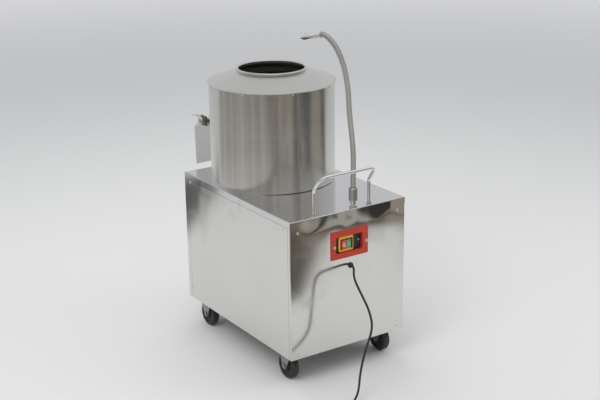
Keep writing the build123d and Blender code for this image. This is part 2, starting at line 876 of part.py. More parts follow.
# Drum pulley and motor pulley with their belt grooves
pulley_top = pulley_z + pulley_width
groove_mid = [
    pulley_z + pulley_width / 2 + (k - (groove_count - 1) / 2) * groove_pitch
    for k in range(groove_count)
]
groove_foot_half = groove_top_half - groove_depth * tan(radians(groove_angle))
motor_y = front_y + motor_from_front
motor_axis = Axis((0, motor_y, 0), (0, 0, 1))
motor_plane = Plane.XZ.offset(-motor_y)
with BuildPart() as drum_pulley:
    with BuildSketch(Plane.XY.offset(pulley_z)):
        with Locations((0, drum_y)):
            Circle(drum_pulley_r)
    extrude(amount=pulley_width)
    with BuildSketch(drum_plane):
        for z in groove_mid:
            with BuildLine():
                Polyline(
                    (drum_pulley_r, z - groove_top_half),
                    (drum_pulley_r, z + groove_top_half),
                    (drum_pulley_r - groove_depth, z + groove_foot_half),
                    (drum_pulley_r - groove_depth, z - groove_foot_half),
                    close=True,
                )
            make_face()
    revolve(axis=drum_axis, mode=Mode.SUBTRACT)
    for level, depth in ((pulley_z, 1), (pulley_top, -1)):
        with BuildSketch(Plane.XY.offset(level)):
            with Locations((0, drum_y)):
                Circle(drum_pulley_r - groove_depth - pulley_hub_h / 2)
                Circle(pulley_hub_r, mode=Mode.SUBTRACT)
        extrude(amount=depth * pulley_hub_h, mode=Mode.SUBTRACT)
    with BuildSketch(Plane.XY.offset(pulley_z)):
        with Locations((0, drum_y)):
            with PolarLocations(pulley_web_cut_at, pulley_web_cuts):
                Circle(pulley_web_cut_r)
    extrude(amount=pulley_width, mode=Mode.SUBTRACT)
    with BuildSketch(Plane.XY.offset(pulley_z)):
        with Locations((0, drum_y)):
            Circle(spindle_low_r)
    extrude(amount=pulley_width, mode=Mode.SUBTRACT)
save(drum_pulley, "drum_pulley")

with BuildPart() as motor_pulley:
    with BuildSketch(Plane.XY.offset(pulley_z)):
        with Locations((0, motor_y)):
            Circle(motor_pulley_r)
    extrude(amount=pulley_width)
    with BuildSketch(motor_plane):
        for z in groove_mid:
            with BuildLine():
                Polyline(
                    (motor_pulley_r, z - groove_top_half),
                    (motor_pulley_r, z + groove_top_half),
                    (motor_pulley_r - groove_depth, z + groove_foot_half),
                    (motor_pulley_r - groove_depth, z - groove_foot_half),
                    close=True,
                )
            make_face()
    revolve(axis=motor_axis, mode=Mode.SUBTRACT)
    with BuildSketch(Plane.XY.offset(pulley_z)):
        with Locations((0, motor_y)):
            Circle(motor_shaft_r)
    extrude(amount=pulley_width, mode=Mode.SUBTRACT)
save(motor_pulley, "motor_pulley")

# Two V belts, each a closed loop round both pulleys
belt_wrap = groove_top_half - belt_top_half
belt_foot_half = belt_top_half - belt_height * tan(radians(groove_angle))
big_belt_r = drum_pulley_r - belt_wrap
small_belt_r = motor_pulley_r - belt_wrap
belt_span = drum_y - motor_y
belt_lean = acos((big_belt_r - small_belt_r) / belt_span)
big_x = big_belt_r * sin(belt_lean)
big_y = drum_y - big_belt_r * cos(belt_lean)
small_x = small_belt_r * sin(belt_lean)
small_y = motor_y - small_belt_r * cos(belt_lean)
with BuildPart() as drive_belts:
    for z in groove_mid:
        with BuildLine(Plane.XY.offset(z)) as loop:
            Line((small_x, small_y), (big_x, big_y))
            ThreePointArc((big_x, big_y), (0, drum_y + big_belt_r), (-big_x, big_y))
            Line((-big_x, big_y), (-small_x, small_y))
            ThreePointArc((-small_x, small_y), (0, motor_y - small_belt_r), (small_x, small_y))
        start_x_dir = (sin(belt_lean), -cos(belt_lean), 0)
        with BuildSketch(Plane(loop.line @ 0, x_dir=start_x_dir, z_dir=loop.line % 0)):
            with BuildLine():
                Polyline(
                    (0, -belt_top_half),
                    (0, belt_top_half),
                    (-belt_height, belt_foot_half),
                    (-belt_height, -belt_foot_half),
                    close=True,
                )
            make_face()
        sweep(path=loop.line)
save(drive_belts, "drive_belts")

# Motor: finned body with its end bell, cowl, feet and run capacitor
motor_low = motor_foot_z
motor_body_low = motor_low + motor_bell_h
motor_body_top = motor_body_low + motor_body_h
motor_top = motor_body_top + motor_cowl_h
motor_plate_y = motor_bar_y - tube / 2 - motor_plate_wall
with BuildPart() as motor_body:
    with BuildSketch(motor_plane):
        with BuildLine():
            Polyline(
                (0, motor_low),
                (motor_r / 2, motor_low),
                (motor_r, motor_body_low - motor_bell_h / 4),
                (motor_r, motor_body_top),
                (motor_fin_r, motor_body_top),
                (motor_fin_r, motor_top - motor_bell_h / 4),
                (motor_fin_r - motor_bell_h / 4, motor_top),
                (0, motor_top),
                close=True,
            )
        make_face()
    revolve(axis=motor_axis)
    with BuildSketch(Plane.XY.offset(motor_body_low)):
        with Locations((0, motor_y)):
            with PolarLocations((motor_r - sheet + motor_fin_r) / 2, motor_fins):
                Rectangle(motor_fin_r - motor_r + sheet, motor_fin_wall)
    extrude(amount=motor_body_h)
    with BuildSketch(Plane.XY.offset(motor_low)):
        with Locations((0, motor_y)):
            Circle(motor_shaft_r + running_gap)
    extrude(amount=motor_shaft_bore, mode=Mode.SUBTRACT)
    foot_depth = motor_plate_y - motor_y
    with BuildSketch(Plane.XY.offset(motor_body_low + motor_foot_wall)):
        for side in (-1, 1):
            with Locations((side * motor_foot_x, motor_y + foot_depth / 2)):
                Rectangle(motor_foot_wall, foot_depth)
            with Locations((side * (motor_foot_x + motor_foot_wall), motor_plate_y - motor_foot_wall / 2)):
                Rectangle(motor_foot_wall * 3, motor_foot_wall)
    extrude(amount=motor_body_h - 2 * motor_foot_wall)
    with BuildSketch(Plane.XY.offset(motor_body_low + motor_foot_wall)):
        with Locations((0, motor_y)):
            with PolarLocations((motor_r + motor_fin_r) / 2, 1, start_angle=capacitor_turn):
                Rectangle(motor_fin_r - motor_r + capacitor_r, capacitor_r)
            with PolarLocations(motor_fin_r + capacitor_r, 1, start_angle=capacitor_turn):
                Circle(capacitor_r)
    extrude(amount=capacitor_h)
save(motor_body, "motor_body")

plate_height = motor_body_h
with BuildPart() as motor_plate:
    with BuildSketch(Plane.XZ.offset(-motor_plate_y)):
        with Locations((0, motor_body_low + plate_height / 2)):
            Rectangle(2 * upright_x + tube, plate_height)
        for side in (-1, 1):
            for end in (-1, 1):
                with Locations((
                    side * (motor_foot_x + 2 * motor_foot_wall),
                    motor_body_low + plate_height / 2 + end * plate_height / 3,
                )):
                    SlotOverall(motor_foot_wall * 2, axle_r * 2, rotation=90, mode=Mode.SUBTRACT)
    extrude(amount=-motor_plate_wall)
save(motor_plate, "motor_plate")

with BuildPart() as motor_shaft:
    with BuildSketch(Plane.XY.offset(motor_low + motor_shaft_bore - fit_gap)):
        with Locations((0, motor_y)):
            Circle(motor_shaft_r)
    extrude(amount=pulley_z - overrun - motor_low - motor_shaft_bore + fit_gap)
save(motor_shaft, "motor_shaft")

# Drum: shell with its discharge port, pan, liner and drain
liner_in_r = drum_in_r - liner_wall
port_mid_z = deck_z + (port_low + port_high) / 2
port_height = port_high - port_low
with BuildPart() as drum:
    with BuildSketch(Plane.XY.offset(deck_z)):
        with Locations((0, drum_y)):
            Circle(drum_r)
            Circle(drum_in_r, mode=Mode.SUBTRACT)
    extrude(amount=drum_height - lid_bead_r)
    with BuildSketch(Plane.XZ.offset(-drum_y)):
        with Locations((0, port_mid_z)):
            RectangleRounded(2 * port_half, port_height, port_corner_r)
    extrude(amount=-drum_r - overrun, mode=Mode.SUBTRACT)
save(drum, "drum")

pan_z = deck_z + pan_gap
with BuildPart() as drum_pan:
    with BuildSketch(Plane.XY.offset(pan_z)):
        with Locations((0, drum_y)):
            Circle(drum_in_r)
            Circle(neck_r + 2 * running_gap, mode=Mode.SUBTRACT)
        with Locations((0, drain_y)):
            Circle(drain_r, mode=Mode.SUBTRACT)
    extrude(amount=pan_wall)
    with BuildSketch(Plane.XY.offset(pan_z)):
        with Locations((0, drum_y)):
            Circle(neck_r + 2 * running_gap + sheet)
            Circle(neck_r + 2 * running_gap, mode=Mode.SUBTRACT)
    extrude(amount=pan_wall + pan_collar_h)
    with BuildSketch(Plane.XY.offset(deck_z)):
        with Locations((0, drum_y)):
            Circle(drum_in_r)
            Circle(drum_in_r - liner_wall, mode=Mode.SUBTRACT)
    extrude(amount=pan_gap)
save(drum_pan, "drum_pan")

liner_low = deck_z + liner_foot
with BuildPart() as abrasive_liner:
    with BuildSketch(Plane.XY.offset(liner_low)):
        with Locations((0, drum_y)):
            Circle(drum_in_r)
            Circle(liner_in_r, mode=Mode.SUBTRACT)
    extrude(amount=rim_z - liner_top_drop - liner_low)
    with BuildSketch(Plane.XZ.offset(-drum_y)):
        with Locations((0, port_mid_z)):
            RectangleRounded(2 * port_half, port_height, port_corner_r)
    extrude(amount=-drum_r - overrun, mode=Mode.SUBTRACT)
save(abrasive_liner, "abrasive_liner")

with BuildPart() as drain_pipe:
    drain_route = ((drain_y, pan_z + pan_wall), (drain_y, drain_z), (rear_y + drain_out, drain_z))
    with BuildLine(Plane.YZ) as drain_path:
        FilletPolyline(*drain_route, radius=drain_bend_r)
    with BuildSketch(Plane.XY.offset(pan_z + pan_wall)):
        with Locations((0, drain_y)):
            Circle(drain_r)
            Circle(drain_r - drain_wall, mode=Mode.SUBTRACT)
    sweep(path=drain_path.line)
save(drain_pipe, "drain_pipe")

# Abrasive disc with waves on top and sweeping vanes under it
wave_reach = disc_r - disc_wall
with BuildPart() as abrasive_disc:
    with BuildSketch(Plane.XY.offset(disc_low)):
        with Locations((0, drum_y)):
            Circle(disc_r)
    extrude(amount=disc_wall)
    with BuildSketch(Plane.XY.offset(disc_low + disc_wall)):
        with Locations((0, drum_y)):
            Circle(disc_hub_r)
    extrude(amount=disc_hub_h, taper=disc_hub_taper)
    for k in range(disc_waves):
        turn = 90 + k * 360 / disc_waves
        crest = Plane(
            origin=(0, drum_y, disc_low + disc_wall),
            x_dir=(-sin(radians(turn)), cos(radians(turn)), 0),
            z_dir=(cos(radians(turn)), sin(radians(turn)), 0),
        )
        with BuildSketch(crest.offset(disc_hub_r)):
            with BuildLine():
                Line((-disc_wave_half, 0), (disc_wave_half, 0))
                ThreePointArc((disc_wave_half, 0), (0, disc_wave_h), (-disc_wave_half, 0))
            make_face()
        extrude(amount=wave_reach - disc_hub_r)
    with BuildSketch(Plane.XY.offset(disc_low - vane_h)):
        with Locations((0, drum_y)):
            with PolarLocations((vane_in_r + wave_reach) / 2, vanes):
                Rectangle(wave_reach - vane_in_r, vane_wall)
    extrude(amount=vane_h)
    with BuildSketch(Plane.XY.offset(disc_low)):
        with Locations((0, drum_y)):
            Circle(spindle_low_r)
    extrude(amount=disc_wall + disc_hub_h, mode=Mode.SUBTRACT)
save(abrasive_disc, "abrasive_disc")

with BuildPart() as disc_cap_nut:
    with BuildSketch(Plane.XY.offset(disc_hub_top)):
        with Locations((0, drum_y)):
            RegularPolygon(cap_nut_across / sqrt(3), 6)
    extrude(amount=cap_nut_h)
    with BuildSketch(Plane.XY.offset(disc_hub_top + cap_nut_h)):
        with Locations((0, drum_y)):
            Circle(cap_nut_across / 2 - sheet)
    extrude(amount=overrun, taper=cap_nut_taper)
    with BuildSketch(Plane.XY.offset(disc_hub_top)):
        with Locations((0, drum_y)):
            Circle(spindle_thread_r)
    extrude(amount=spindle_top - disc_hub_top, mode=Mode.SUBTRACT)
save(disc_cap_nut, "disc_cap_nut")

# Lid: a cone with a rolled rim, a skirt inside the drum and a short filling neck
lid_rim_r = drum_r + lid_overhang
neck_ring_r = mouth_r + neck_rim_r
lid_top = rim_z + lid_rise
cone_top = lid_top - neck_ring_h
skirt_r = drum_in_r - running_gap
rim_bead_r = lid_rim_r - lid_bead_r
bead_z = rim_z - lid_bead_r
with BuildPart() as lid:
    with BuildSketch(drum_plane):
        with BuildLine():
            Polyline(
                (rim_bead_r, bead_z),
                (rim_bead_r, rim_z),
                (neck_ring_r + sheet / 2, cone_top),
                (neck_ring_r + sheet / 2, lid_top - neck_rim_r),
                (neck_ring_r - sheet / 2, lid_top - neck_rim_r),
                (neck_ring_r - sheet / 2, cone_top - sheet),
                (skirt_r - sheet, bead_z),
                (skirt_r - sheet, rim_z - lid_skirt_h),
                (skirt_r, rim_z - lid_skirt_h),
                (skirt_r, bead_z),
                close=True,
            )
        make_face()
        with Locations((rim_bead_r, bead_z)):
            Circle(lid_bead_r)
        with Locations((neck_ring_r, lid_top - neck_rim_r)):
            Circle(neck_rim_r)
    revolve(axis=drum_axis)
save(lid, "lid")

with BuildPart() as rim_screws:
    for k in range(lid_screws):
        turn = radians(lid_screw_turn + k * 360 / lid_screws)
        spot = Plane(origin=(0, drum_y, rim_z - lid_screw_drop), z_dir=(cos(turn), sin(turn), 0))
        with BuildSketch(spot.offset(drum_r - overrun)):
            Circle(screw_head_r)
        extrude(amount=overrun + screw_head_h)
    with BuildSketch(Plane.XY.offset(rim_z - lid_skirt_h)):
        with Locations((0, drum_y)):
            Circle(drum_r)
    extrude(amount=lid_skirt_h, mode=Mode.SUBTRACT)
save(rim_screws, "lid_screws")

# Discharge chute: a sloped trough with tall cheeks, welded to the drum
chute_end_y = rear_y + chute_overhang
chute_foot_y = chute_end_y - chute_end_lean
chute_foot_z = deck_z - chute_outer_floor
chute_top_z = chute_foot_z + chute_cheek_height
lip_run = chute_lip_length * cos(radians(chute_lip_angle))
lip_rise = chute_lip_length * sin(radians(chute_lip_angle))
chute_inner_y = drum_y + drum_r * cos(pi / 4)
chute_inner_z = chute_foot_z + (chute_foot_y - chute_inner_y) * tan(radians(chute_drop_angle))
cheek_top_z = chute_top_z + lip_rise
with BuildPart() as discharge_chute:
    for side in (-1, 1):
        with BuildSketch(Plane.YZ.offset(side * chute_half_width)):
            with BuildLine():
                Polyline(
                    (chute_foot_y, chute_foot_z),
                    (chute_end_y, chute_top_z),
                    (chute_end_y - lip_run, cheek_top_z),
                    (chute_inner_y, cheek_top_z),
                    (chute_inner_y, chute_inner_z),
                    close=True,
                )
            make_face()
        extrude(amount=-side * sheet)
    with BuildSketch(Plane.YZ.offset(-chute_half_width)):
        with BuildLine():
            Polyline(
                (chute_foot_y, chute_foot_z),
                (chute_foot_y, chute_foot_z + sheet),
                (chute_inner_y, chute_inner_z + sheet),
                (chute_inner_y, chute_inner_z),
                close=True,
            )
        make_face()
    extrude(amount=2 * chute_half_width)
    for side in (-1, 1):
        lip_plane = Plane(
            origin=(side * (chute_half_width - sheet / 2), chute_end_y, chute_top_z),
            x_dir=(0, -cos(radians(chute_lip_angle)), sin(radians(chute_lip_angle))),
            z_dir=(1, 0, 0),
        )
        with BuildSketch(lip_plane):
            with BuildLine():
                Line((0, 0), (chute_roll_length, 0))
                ThreePointArc((chute_roll_length, 0), (chute_roll_length / 2, chute_lip_r), (0, 0))
            make_face()
        revolve(axis=Axis(lip_plane.origin, lip_plane.x_dir))
    with BuildSketch(Plane.XY.offset(chute_foot_z)):
        with Locations((0, drum_y)):
            Circle(drum_r)
    extrude(amount=cheek_top_z, mode=Mode.SUBTRACT)
save(discharge_chute, "discharge_chute")

# Gate: brackets on the cheeks, curved plate with arms and sleeve, seal and lift lever
pivot_y = drum_y + gate_pivot_y
pivot_z = deck_z + gate_pivot_up
with BuildPart() as pivot_brackets:
    for side in (-1, 1):
        with BuildSketch(Plane.YZ.offset(side * chute_half_width)):
            with Locations((pivot_y, pivot_z)):
                RectangleRounded(bracket_length, bracket_height, bracket_corner_r)
                Circle(gate_pin_r + running_gap, mode=Mode.SUBTRACT)
        extrude(amount=side * bracket_wall)
save(pivot_brackets, "pivot_brackets")

gate_in_r = drum_r + fit_gap + gate_seal
gate_out_r = gate_in_r + gate_wall
gate_low_z = deck_z + gate_low
gate_high_z = deck_z + gate_high
arm_y = drum_y + sqrt(gate_in_r * gate_in_r - gate_half * gate_half)
with BuildPart() as discharge_gate:
    with BuildSketch(Plane.XY.offset(gate_low_z)):
        with Locations((0, drum_y)):
            Circle(gate_out_r)
            Circle(gate_in_r, mode=Mode.SUBTRACT)
        with Locations((0, drum_y + gate_out_r)):
            Rectangle(2 * gate_half, gate_out_r, mode=Mode.INTERSECT)
    extrude(amount=gate_high - gate_low)
    for side in (-1, 1):
        with BuildSketch(Plane.YZ.offset(side * gate_half)):
            with BuildLine():
                Polyline(
                    (arm_y, gate_high_z),
                    (arm_y, gate_high_z - 3 * gate_arm_high),
                    (pivot_y, pivot_z - gate_sleeve_r),
                    (pivot_y, pivot_z + gate_sleeve_r),
                    close=True,
                )
            make_face()
            with Locations((pivot_y, pivot_z)):
                Circle(gate_sleeve_r)
        extrude(amount=-side * gate_arm_wall)
    with BuildSketch(Plane.YZ.offset(-gate_half)):
        with Locations((pivot_y, pivot_z)):
            Circle(gate_sleeve_r)
    extrude(amount=2 * gate_half)
    with BuildSketch(Plane.YZ.offset(-gate_half)):
        with Locations((pivot_y, pivot_z)):
            Circle(gate_pin_r)
    extrude(amount=2 * gate_half, mode=Mode.SUBTRACT)
    with BuildSketch(Plane.XY.offset(gate_low_z)):
        with Locations((0, drum_y)):
            Circle(gate_in_r)
    extrude(amount=gate_high, mode=Mode.SUBTRACT)
save(discharge_gate, "discharge_gate")

seal_half = port_half + gate_seal
with BuildPart() as gate_seal_pad:
    with BuildSketch(Plane.XY.offset(deck_z + port_low - gate_seal / 2)):
        with Locations((0, drum_y)):
            Circle(gate_in_r)
            Circle(gate_in_r - gate_seal, mode=Mode.SUBTRACT)
        with Locations((0, drum_y + gate_in_r)):
            Rectangle(2 * seal_half, gate_in_r, mode=Mode.INTERSECT)
    extrude(amount=port_height + gate_seal)
save(gate_seal_pad, "gate_seal")

lever_x = -chute_half_width - bracket_wall - fit_gap
lever_tip = (pivot_y + lever_reach, pivot_z + lever_hub_r)
with BuildPart() as lift_lever:
    with BuildSketch(Plane.YZ.offset(lever_x - lever_width - lever_wall)):
        with Locations((pivot_y, pivot_z)):
            Circle(gate_pin_r)
    extrude(amount=2 * (chute_half_width + bracket_wall + lever_wall) + lever_width)
    with BuildSketch(Plane.YZ.offset(lever_x)):
        with Locations((pivot_y, pivot_z)):
            Circle(lever_hub_r)
        with BuildLine():
            Line((pivot_y, pivot_z + lever_hub_r), (pivot_y, pivot_z + lever_hub_r - lever_wall))
            ThreePointArc(
                (pivot_y, pivot_z + lever_hub_r - lever_wall),
                (pivot_y + lever_reach / 2, pivot_z + lever_rise - lever_wall),
                (lever_tip[0], lever_tip[1] - lever_wall),
            )
            Line((lever_tip[0], lever_tip[1] - lever_wall), lever_tip)
            ThreePointArc(
                lever_tip,
                (pivot_y + lever_reach / 2, pivot_z + lever_rise),
                (pivot_y, pivot_z + lever_hub_r),
            )
        make_face()
    extrude(amount=-lever_width)
    with BuildSketch(Plane.YZ.offset(chute_half_width + bracket_wall + fit_gap)):
        with Locations((pivot_y, pivot_z)):
            Circle(gate_sleeve_r)
    extrude(amount=lever_wall)
save(lift_lever, "lift_lever")

# Push handle: one bent rod, screwed into the ring and locked by a nut on the deck
grip_y = handle_y - handle_grip_out
upright_z = deck_z + handle_upright
grip_z = deck_z + handle_rise
tail_z = deck_z - handle_tail
handle_route = [(handle_left_x, handle_y, tail_z), (handle_left_x, handle_y, upright_z)]
handle_route += [(handle_left_x, grip_y, grip_z), (handle_right_x, grip_y, grip_z)]
handle_route += [(handle_right_x, handle_y, upright_z), (handle_right_x, handle_y, tail_z)]
handle_radii = (handle_elbow_r, handle_bend_r, handle_bend_r, handle_elbow_r)
with BuildPart() as push_handle:
    with BuildLine() as handle_path:
        FilletPolyline(*handle_route, radius=handle_radii)
    with BuildSketch(Plane.XY.offset(tail_z)):
        with Locations((handle_left_x, handle_y)):
            Circle(handle_rod_r)
    sweep(path=handle_path.line)
save(push_handle, "push_handle")

with BuildPart() as handle_nuts:
    with BuildSketch(Plane.XY.offset(deck_z)):
        with Locations(*[(x, handle_y) for x in handle_x]):
            Circle(washer_r)
            Circle(handle_rod_r, mode=Mode.SUBTRACT)
    extrude(amount=washer_wall)
    with BuildSketch(Plane.XY.offset(deck_z + washer_wall)):
        with Locations(*[(x, handle_y) for x in handle_x]):
            RegularPolygon(nut_across / sqrt(3), 6)
            Circle(handle_rod_r, mode=Mode.SUBTRACT)
    extrude(amount=nut_height)
save(handle_nuts, "handle_nuts")

# Water spout: nipple through the deck, swivelling ferrule, gooseneck and nozzle
spout_plane = Plane(origin=(spout_x, nipple_y, 0), x_dir=(1, 0, 0), z_dir=(0, -1, 0))
spout_axis = Axis((spout_x, nipple_y, 0), (0, 0, 1))
spigot_z = deck_z + nipple_h
spigot_top = spigot_z + spigot_h
with BuildPart() as water_nipple:
    with BuildSketch(spout_plane):
        with BuildLine():
            Polyline(
                (water_bore_r, deck_z - tail_drop),
                (barb_r, deck_z - tail_drop),
                (barb_r, deck_z - tail_drop + barb_length),
                (tail_r, deck_z - tail_drop + barb_length),
                (tail_r, deck_z),
                (nipple_r, deck_z),
                (nipple_r, spigot_z),
                (spigot_r, spigot_z),
                (spigot_r, spigot_top),
                (water_bore_r, spigot_top),
                close=True,
            )
        make_face()
    revolve(axis=spout_axis)
    with BuildSketch(Plane.XY.offset(deck_z)):
        with Locations((spout_x, nipple_y)):
            RegularPolygon(nipple_nut_across / sqrt(3), 6)
            Circle(water_bore_r, mode=Mode.SUBTRACT)
    extrude(amount=nipple_nut_h)
save(water_nipple, "water_nipple")

ferrule_z = spigot_z + fit_gap
ferrule_top = ferrule_z + ferrule_h
hose_z = spigot_top + fit_gap
with BuildPart() as hose_ferrule:
    with BuildSketch(spout_plane):
        with BuildLine():
            Polyline(
                (spigot_r + running_gap, ferrule_z),
                (ferrule_r, ferrule_z),
                (ferrule_r, ferrule_top - ferrule_bevel),
                (ferrule_r - ferrule_bevel, ferrule_top),
                (hose_r + running_gap, ferrule_top),
                (hose_r + running_gap, hose_z),
                (spigot_r + running_gap, hose_z),
                close=True,
            )
        make_face()
    revolve(axis=spout_axis)
save(hose_ferrule, "hose_ferrule")

hose_points = [
    (spout_x - spout_lean_share * out, nipple_y + out, hose_z + up) for out, up in hose_route_steps
]
with BuildPart() as hose_skin:
    with BuildLine() as hose_path:
        FilletPolyline(*hose_points, radius=hose_bend_radii)
    hose_line = hose_path.line
    with BuildSketch(Plane(hose_line @ 0, x_dir=(1, 0, 0), z_dir=hose_line % 0)):
        Circle(hose_r)
    sweep(path=hose_line)
with BuildPart() as hose_bore:
    with BuildSketch(Plane(hose_line @ 0, x_dir=(1, 0, 0), z_dir=hose_line % 0)):
        Circle(hose_bore_r)
    sweep(path=hose_line)

# The bore's wall closes the outer skin through a ring at each end
outer_ends = hose_skin.faces().filter_by(GeomType.PLANE).sort_by(Axis.Z)
bore_ends = hose_bore.faces().filter_by(GeomType.PLANE).sort_by(Axis.Z)
hose_walls = hose_skin.faces().filter_by(GeomType.PLANE, reverse=True)
hose_walls += hose_bore.faces().filter_by(GeomType.PLANE, reverse=True)
rings = [Face(out.outer_wire(), [hole.outer_wire()]) for out, hole in zip(outer_ends, bore_ends)]
with BuildPart() as gooseneck_hose:
    add(Solid(Shell(hose_walls + rings)))
save(gooseneck_hose, "gooseneck_hose")

nozzle_start = hose_line @ 1
nozzle_way = hose_line % 1
nozzle_plane = Plane(nozzle_start, x_dir=(1, 0, 0), z_dir=nozzle_way)
with BuildPart() as spray_nozzle:
    level = 0
    for r, length in (
        (nozzle_collar_r, nozzle_collar),
        (nozzle_body_r, nozzle_body),
        (nozzle_collar_r, nozzle_collar),
        (nozzle_tip_r, nozzle_tip),
    ):
        with BuildSketch(nozzle_plane.offset(level)):
            Circle(r)
            Circle(water_bore_r, mode=Mode.SUBTRACT)
        extrude(amount=length)
        level += length
save(spray_nozzle, "spray_nozzle")

# Switch: pressed tray, body behind it, bezel and two buttons
tray_mid_z = ground_clearance + tray_z
window_mid_z = ground_clearance + window_z
tray_face_y = front_y - tray_wall
recess_y = tray_face_y + recess_depth
tray_face = Plane.XZ.offset(-tray_face_y)
recess_face = Plane.XZ.offset(-recess_y)
with BuildPart() as switch_tray:
    with BuildSketch(tray_face):
        with Locations((tray_x, tray_mid_z)):
            RectangleRounded(tray_width, tray_height, tray_corner_r)
    extrude(amount=-tray_wall)
    with BuildSketch(tray_face):
        with Locations((window_x, window_mid_z)):
            RectangleRounded(
                window_width + 2 * tray_wall, window_height + 2 * tray_wall, window_corner_r + tray_wall
            )
    extrude(amount=-recess_depth)
    with BuildSketch(tray_face):
        with Locations((window_x, window_mid_z)):
            RectangleRounded(window_width, window_height, window_corner_r)
    extrude(amount=-recess_depth, mode=Mode.SUBTRACT)
save(switch_tray, "switch_tray")

bezel_mid_z = ground_clearance + bezel_z
button_mid_z = ground_clearance + button_z
button_x = (button_pair_x - button_pitch / 2, button_pair_x + button_pitch / 2)
well_width = button_width + 2 * fit_gap
well_height = button_height + 2 * fit_gap
well_y = recess_y + button_stem + button_travel + fit_gap
with BuildPart() as switch_body:
    with BuildSketch(recess_face):
        with Locations((window_x, window_mid_z)):
            RectangleRounded(
                window_width + 2 * tray_wall, window_height + 2 * tray_wall, window_corner_r + tray_wall
            )
    extrude(amount=-switch_flange)
    with BuildSketch(recess_face):
        with Locations((window_x, window_mid_z)):
            Rectangle(window_width - 2 * window_corner_r, window_height - window_corner_r)
    extrude(amount=-switch_depth)
    with BuildSketch(recess_face):
        with Locations(*[(x, button_mid_z) for x in button_x]):
            RectangleRounded(well_width, well_height, button_corner_r + fit_gap)
    extrude(amount=-button_stem - button_travel - fit_gap, mode=Mode.SUBTRACT)
save(switch_body, "switch_body")

with BuildPart() as switch_bezel:
    with BuildSketch(recess_face):
        with Locations((bezel_x, bezel_mid_z)):
            RectangleRounded(bezel_width, bezel_height, bezel_corner_r)
        with Locations(*[(x, button_mid_z) for x in button_x]):
            RectangleRounded(well_width, well_height, button_corner_r + fit_gap, mode=Mode.SUBTRACT)
    extrude(amount=bezel_wall)
    tab_drops = [end * (bezel_height / 2 - bezel_tab_r / 2) for end in (-1, 1)]
    with BuildSketch(recess_face):
        with Locations(*[(bezel_tab_x, bezel_mid_z + drop) for drop in tab_drops]):
            Circle(bezel_tab_r)
    extrude(amount=bezel_wall - sheet)
    with BuildSketch(recess_face):
        with Locations(*[(x, button_mid_z) for x in button_x]):
            RectangleRounded(well_width, well_height, button_corner_r + fit_gap)
    extrude(amount=bezel_wall, mode=Mode.SUBTRACT)
save(switch_bezel, "switch_bezel")

bezel_y = recess_y - bezel_wall
for name, x in (("stop_button", button_x[0]), ("start_button", button_x[1])):
    with BuildPart() as button:
        with BuildSketch(Plane.XZ.offset(-bezel_y + button_proud)):
            with Locations((x, button_mid_z)):
                RectangleRounded(button_width, button_height, button_corner_r)
        extrude(amount=-button_proud - bezel_wall - button_stem)
    save(button, name)

with BuildPart() as switch_screws:
    with BuildSketch(tray_face):
        with Locations(*[(x, ground_clearance + tray_screw_z) for x in (tray_screw_left, tray_screw_right)]):
            Circle(tray_screw_r)
    extrude(amount=tray_screw_h, taper=screw_taper)
    with BuildSketch(recess_face):
        with Locations((body_screw_x, ground_clearance + body_screw_z)):
            Circle(small_screw_r)
    extrude(amount=small_screw_h)
    with BuildSketch(recess_face.offset(bezel_wall)):
        with Locations(*[(bezel_tab_x, bezel_mid_z + end * bezel_screw_rise) for end in (-1, 1)]):
            Circle(small_screw_r)
    extrude(amount=small_screw_h)
save(switch_screws, "switch_screws")

# Cord gland: a collar on the panel and a tapered boot
gland_mid_z = ground_clearance + gland_z
gland_plane = Plane.XY.offset(gland_mid_z)
gland_axis = Axis((gland_x, 0, gland_mid_z), (0, 1, 0))
gland_tip_y = front_y - gland_length
with BuildPart() as cord_gland:
    with BuildSketch(gland_plane):
        with BuildLine():
            Polyline(
                (gland_x + cord_r, front_y + gland_inside),
                (gland_x + gland_r, front_y + gland_inside),
                (gland_x + gland_r, front_y),
                (gland_x + gland_collar_r, front_y),
                (gland_x + gland_collar_r, front_y - gland_collar_h),
                (gland_x + gland_r, front_y - gland_collar_h),
                (gland_x + cord_r + gland_tip_wall, gland_tip_y),
                (gland_x + cord_r, gland_tip_y),
                close=True,
            )
        make_face()
    revolve(axis=gland_axis)
save(cord_gland, "cord_gland")

# Mains cord: hangs from the gland to the floor, then a two-layer coil out of the way
cord_route = [
    (gland_x, gland_tip_y, gland_mid_z),
    (3.5, -455, 413),
    (-7, -468, 406.5),
    (-18, -484, 397.5),
    (-27, -505, 386),
    (-34, -536, 368.5),
    (-38, -568, 346),
    (-35, -593, 315),
    (-32, -606, 281),
    (-32, -611, 257),
    (-36, -611, 229),
    (-43, -606, 200),
    (-51, -600, 163),
    (-60, -597, 128),
    (-72, -602, 98),
    (-86, -613, 71),
    (-99, -627, 48),
    (-113, -638, 29),
    (-129, -645, 14.5),
    (-147, -651, 6),
    (-168, -656, 4),
    (-190, -660, 4),
    (-214, -662, 4),
]


def cord_bends(points):
    """Returns the bend radius at each inner corner of a cord's route."""
    radii = []
    for before, here, after in zip(points, points[1:], points[2:]):
        run_in = Vector(here) - Vector(before)
        run_out = Vector(after) - Vector(here)
        half_turn = radians(run_in.get_angle(run_out)) / 2
        radii.append(cord_bend_share * min(run_in.length, run_out.length) / tan(half_turn))
    return radii


bends = cord_bends(cord_route)
print("cord bend radii", [round(r) for r in bends])
with BuildPart() as power_cord:
    with BuildLine() as cord_path:
        FilletPolyline(*cord_route, radius=bends)
    with BuildSketch(Plane(cord_path.line @ 0, z_dir=cord_path.line % 0)):
        Circle(cord_r)
    sweep(path=cord_path.line)
cord_length = cord_path.wires()[0].length
print("cord length", round(cord_length), "volume", round(power_cord.part.volume))
print("section by length", round(pi * cord_r * cord_r * cord_length))
save(power_cord, "power_cord")

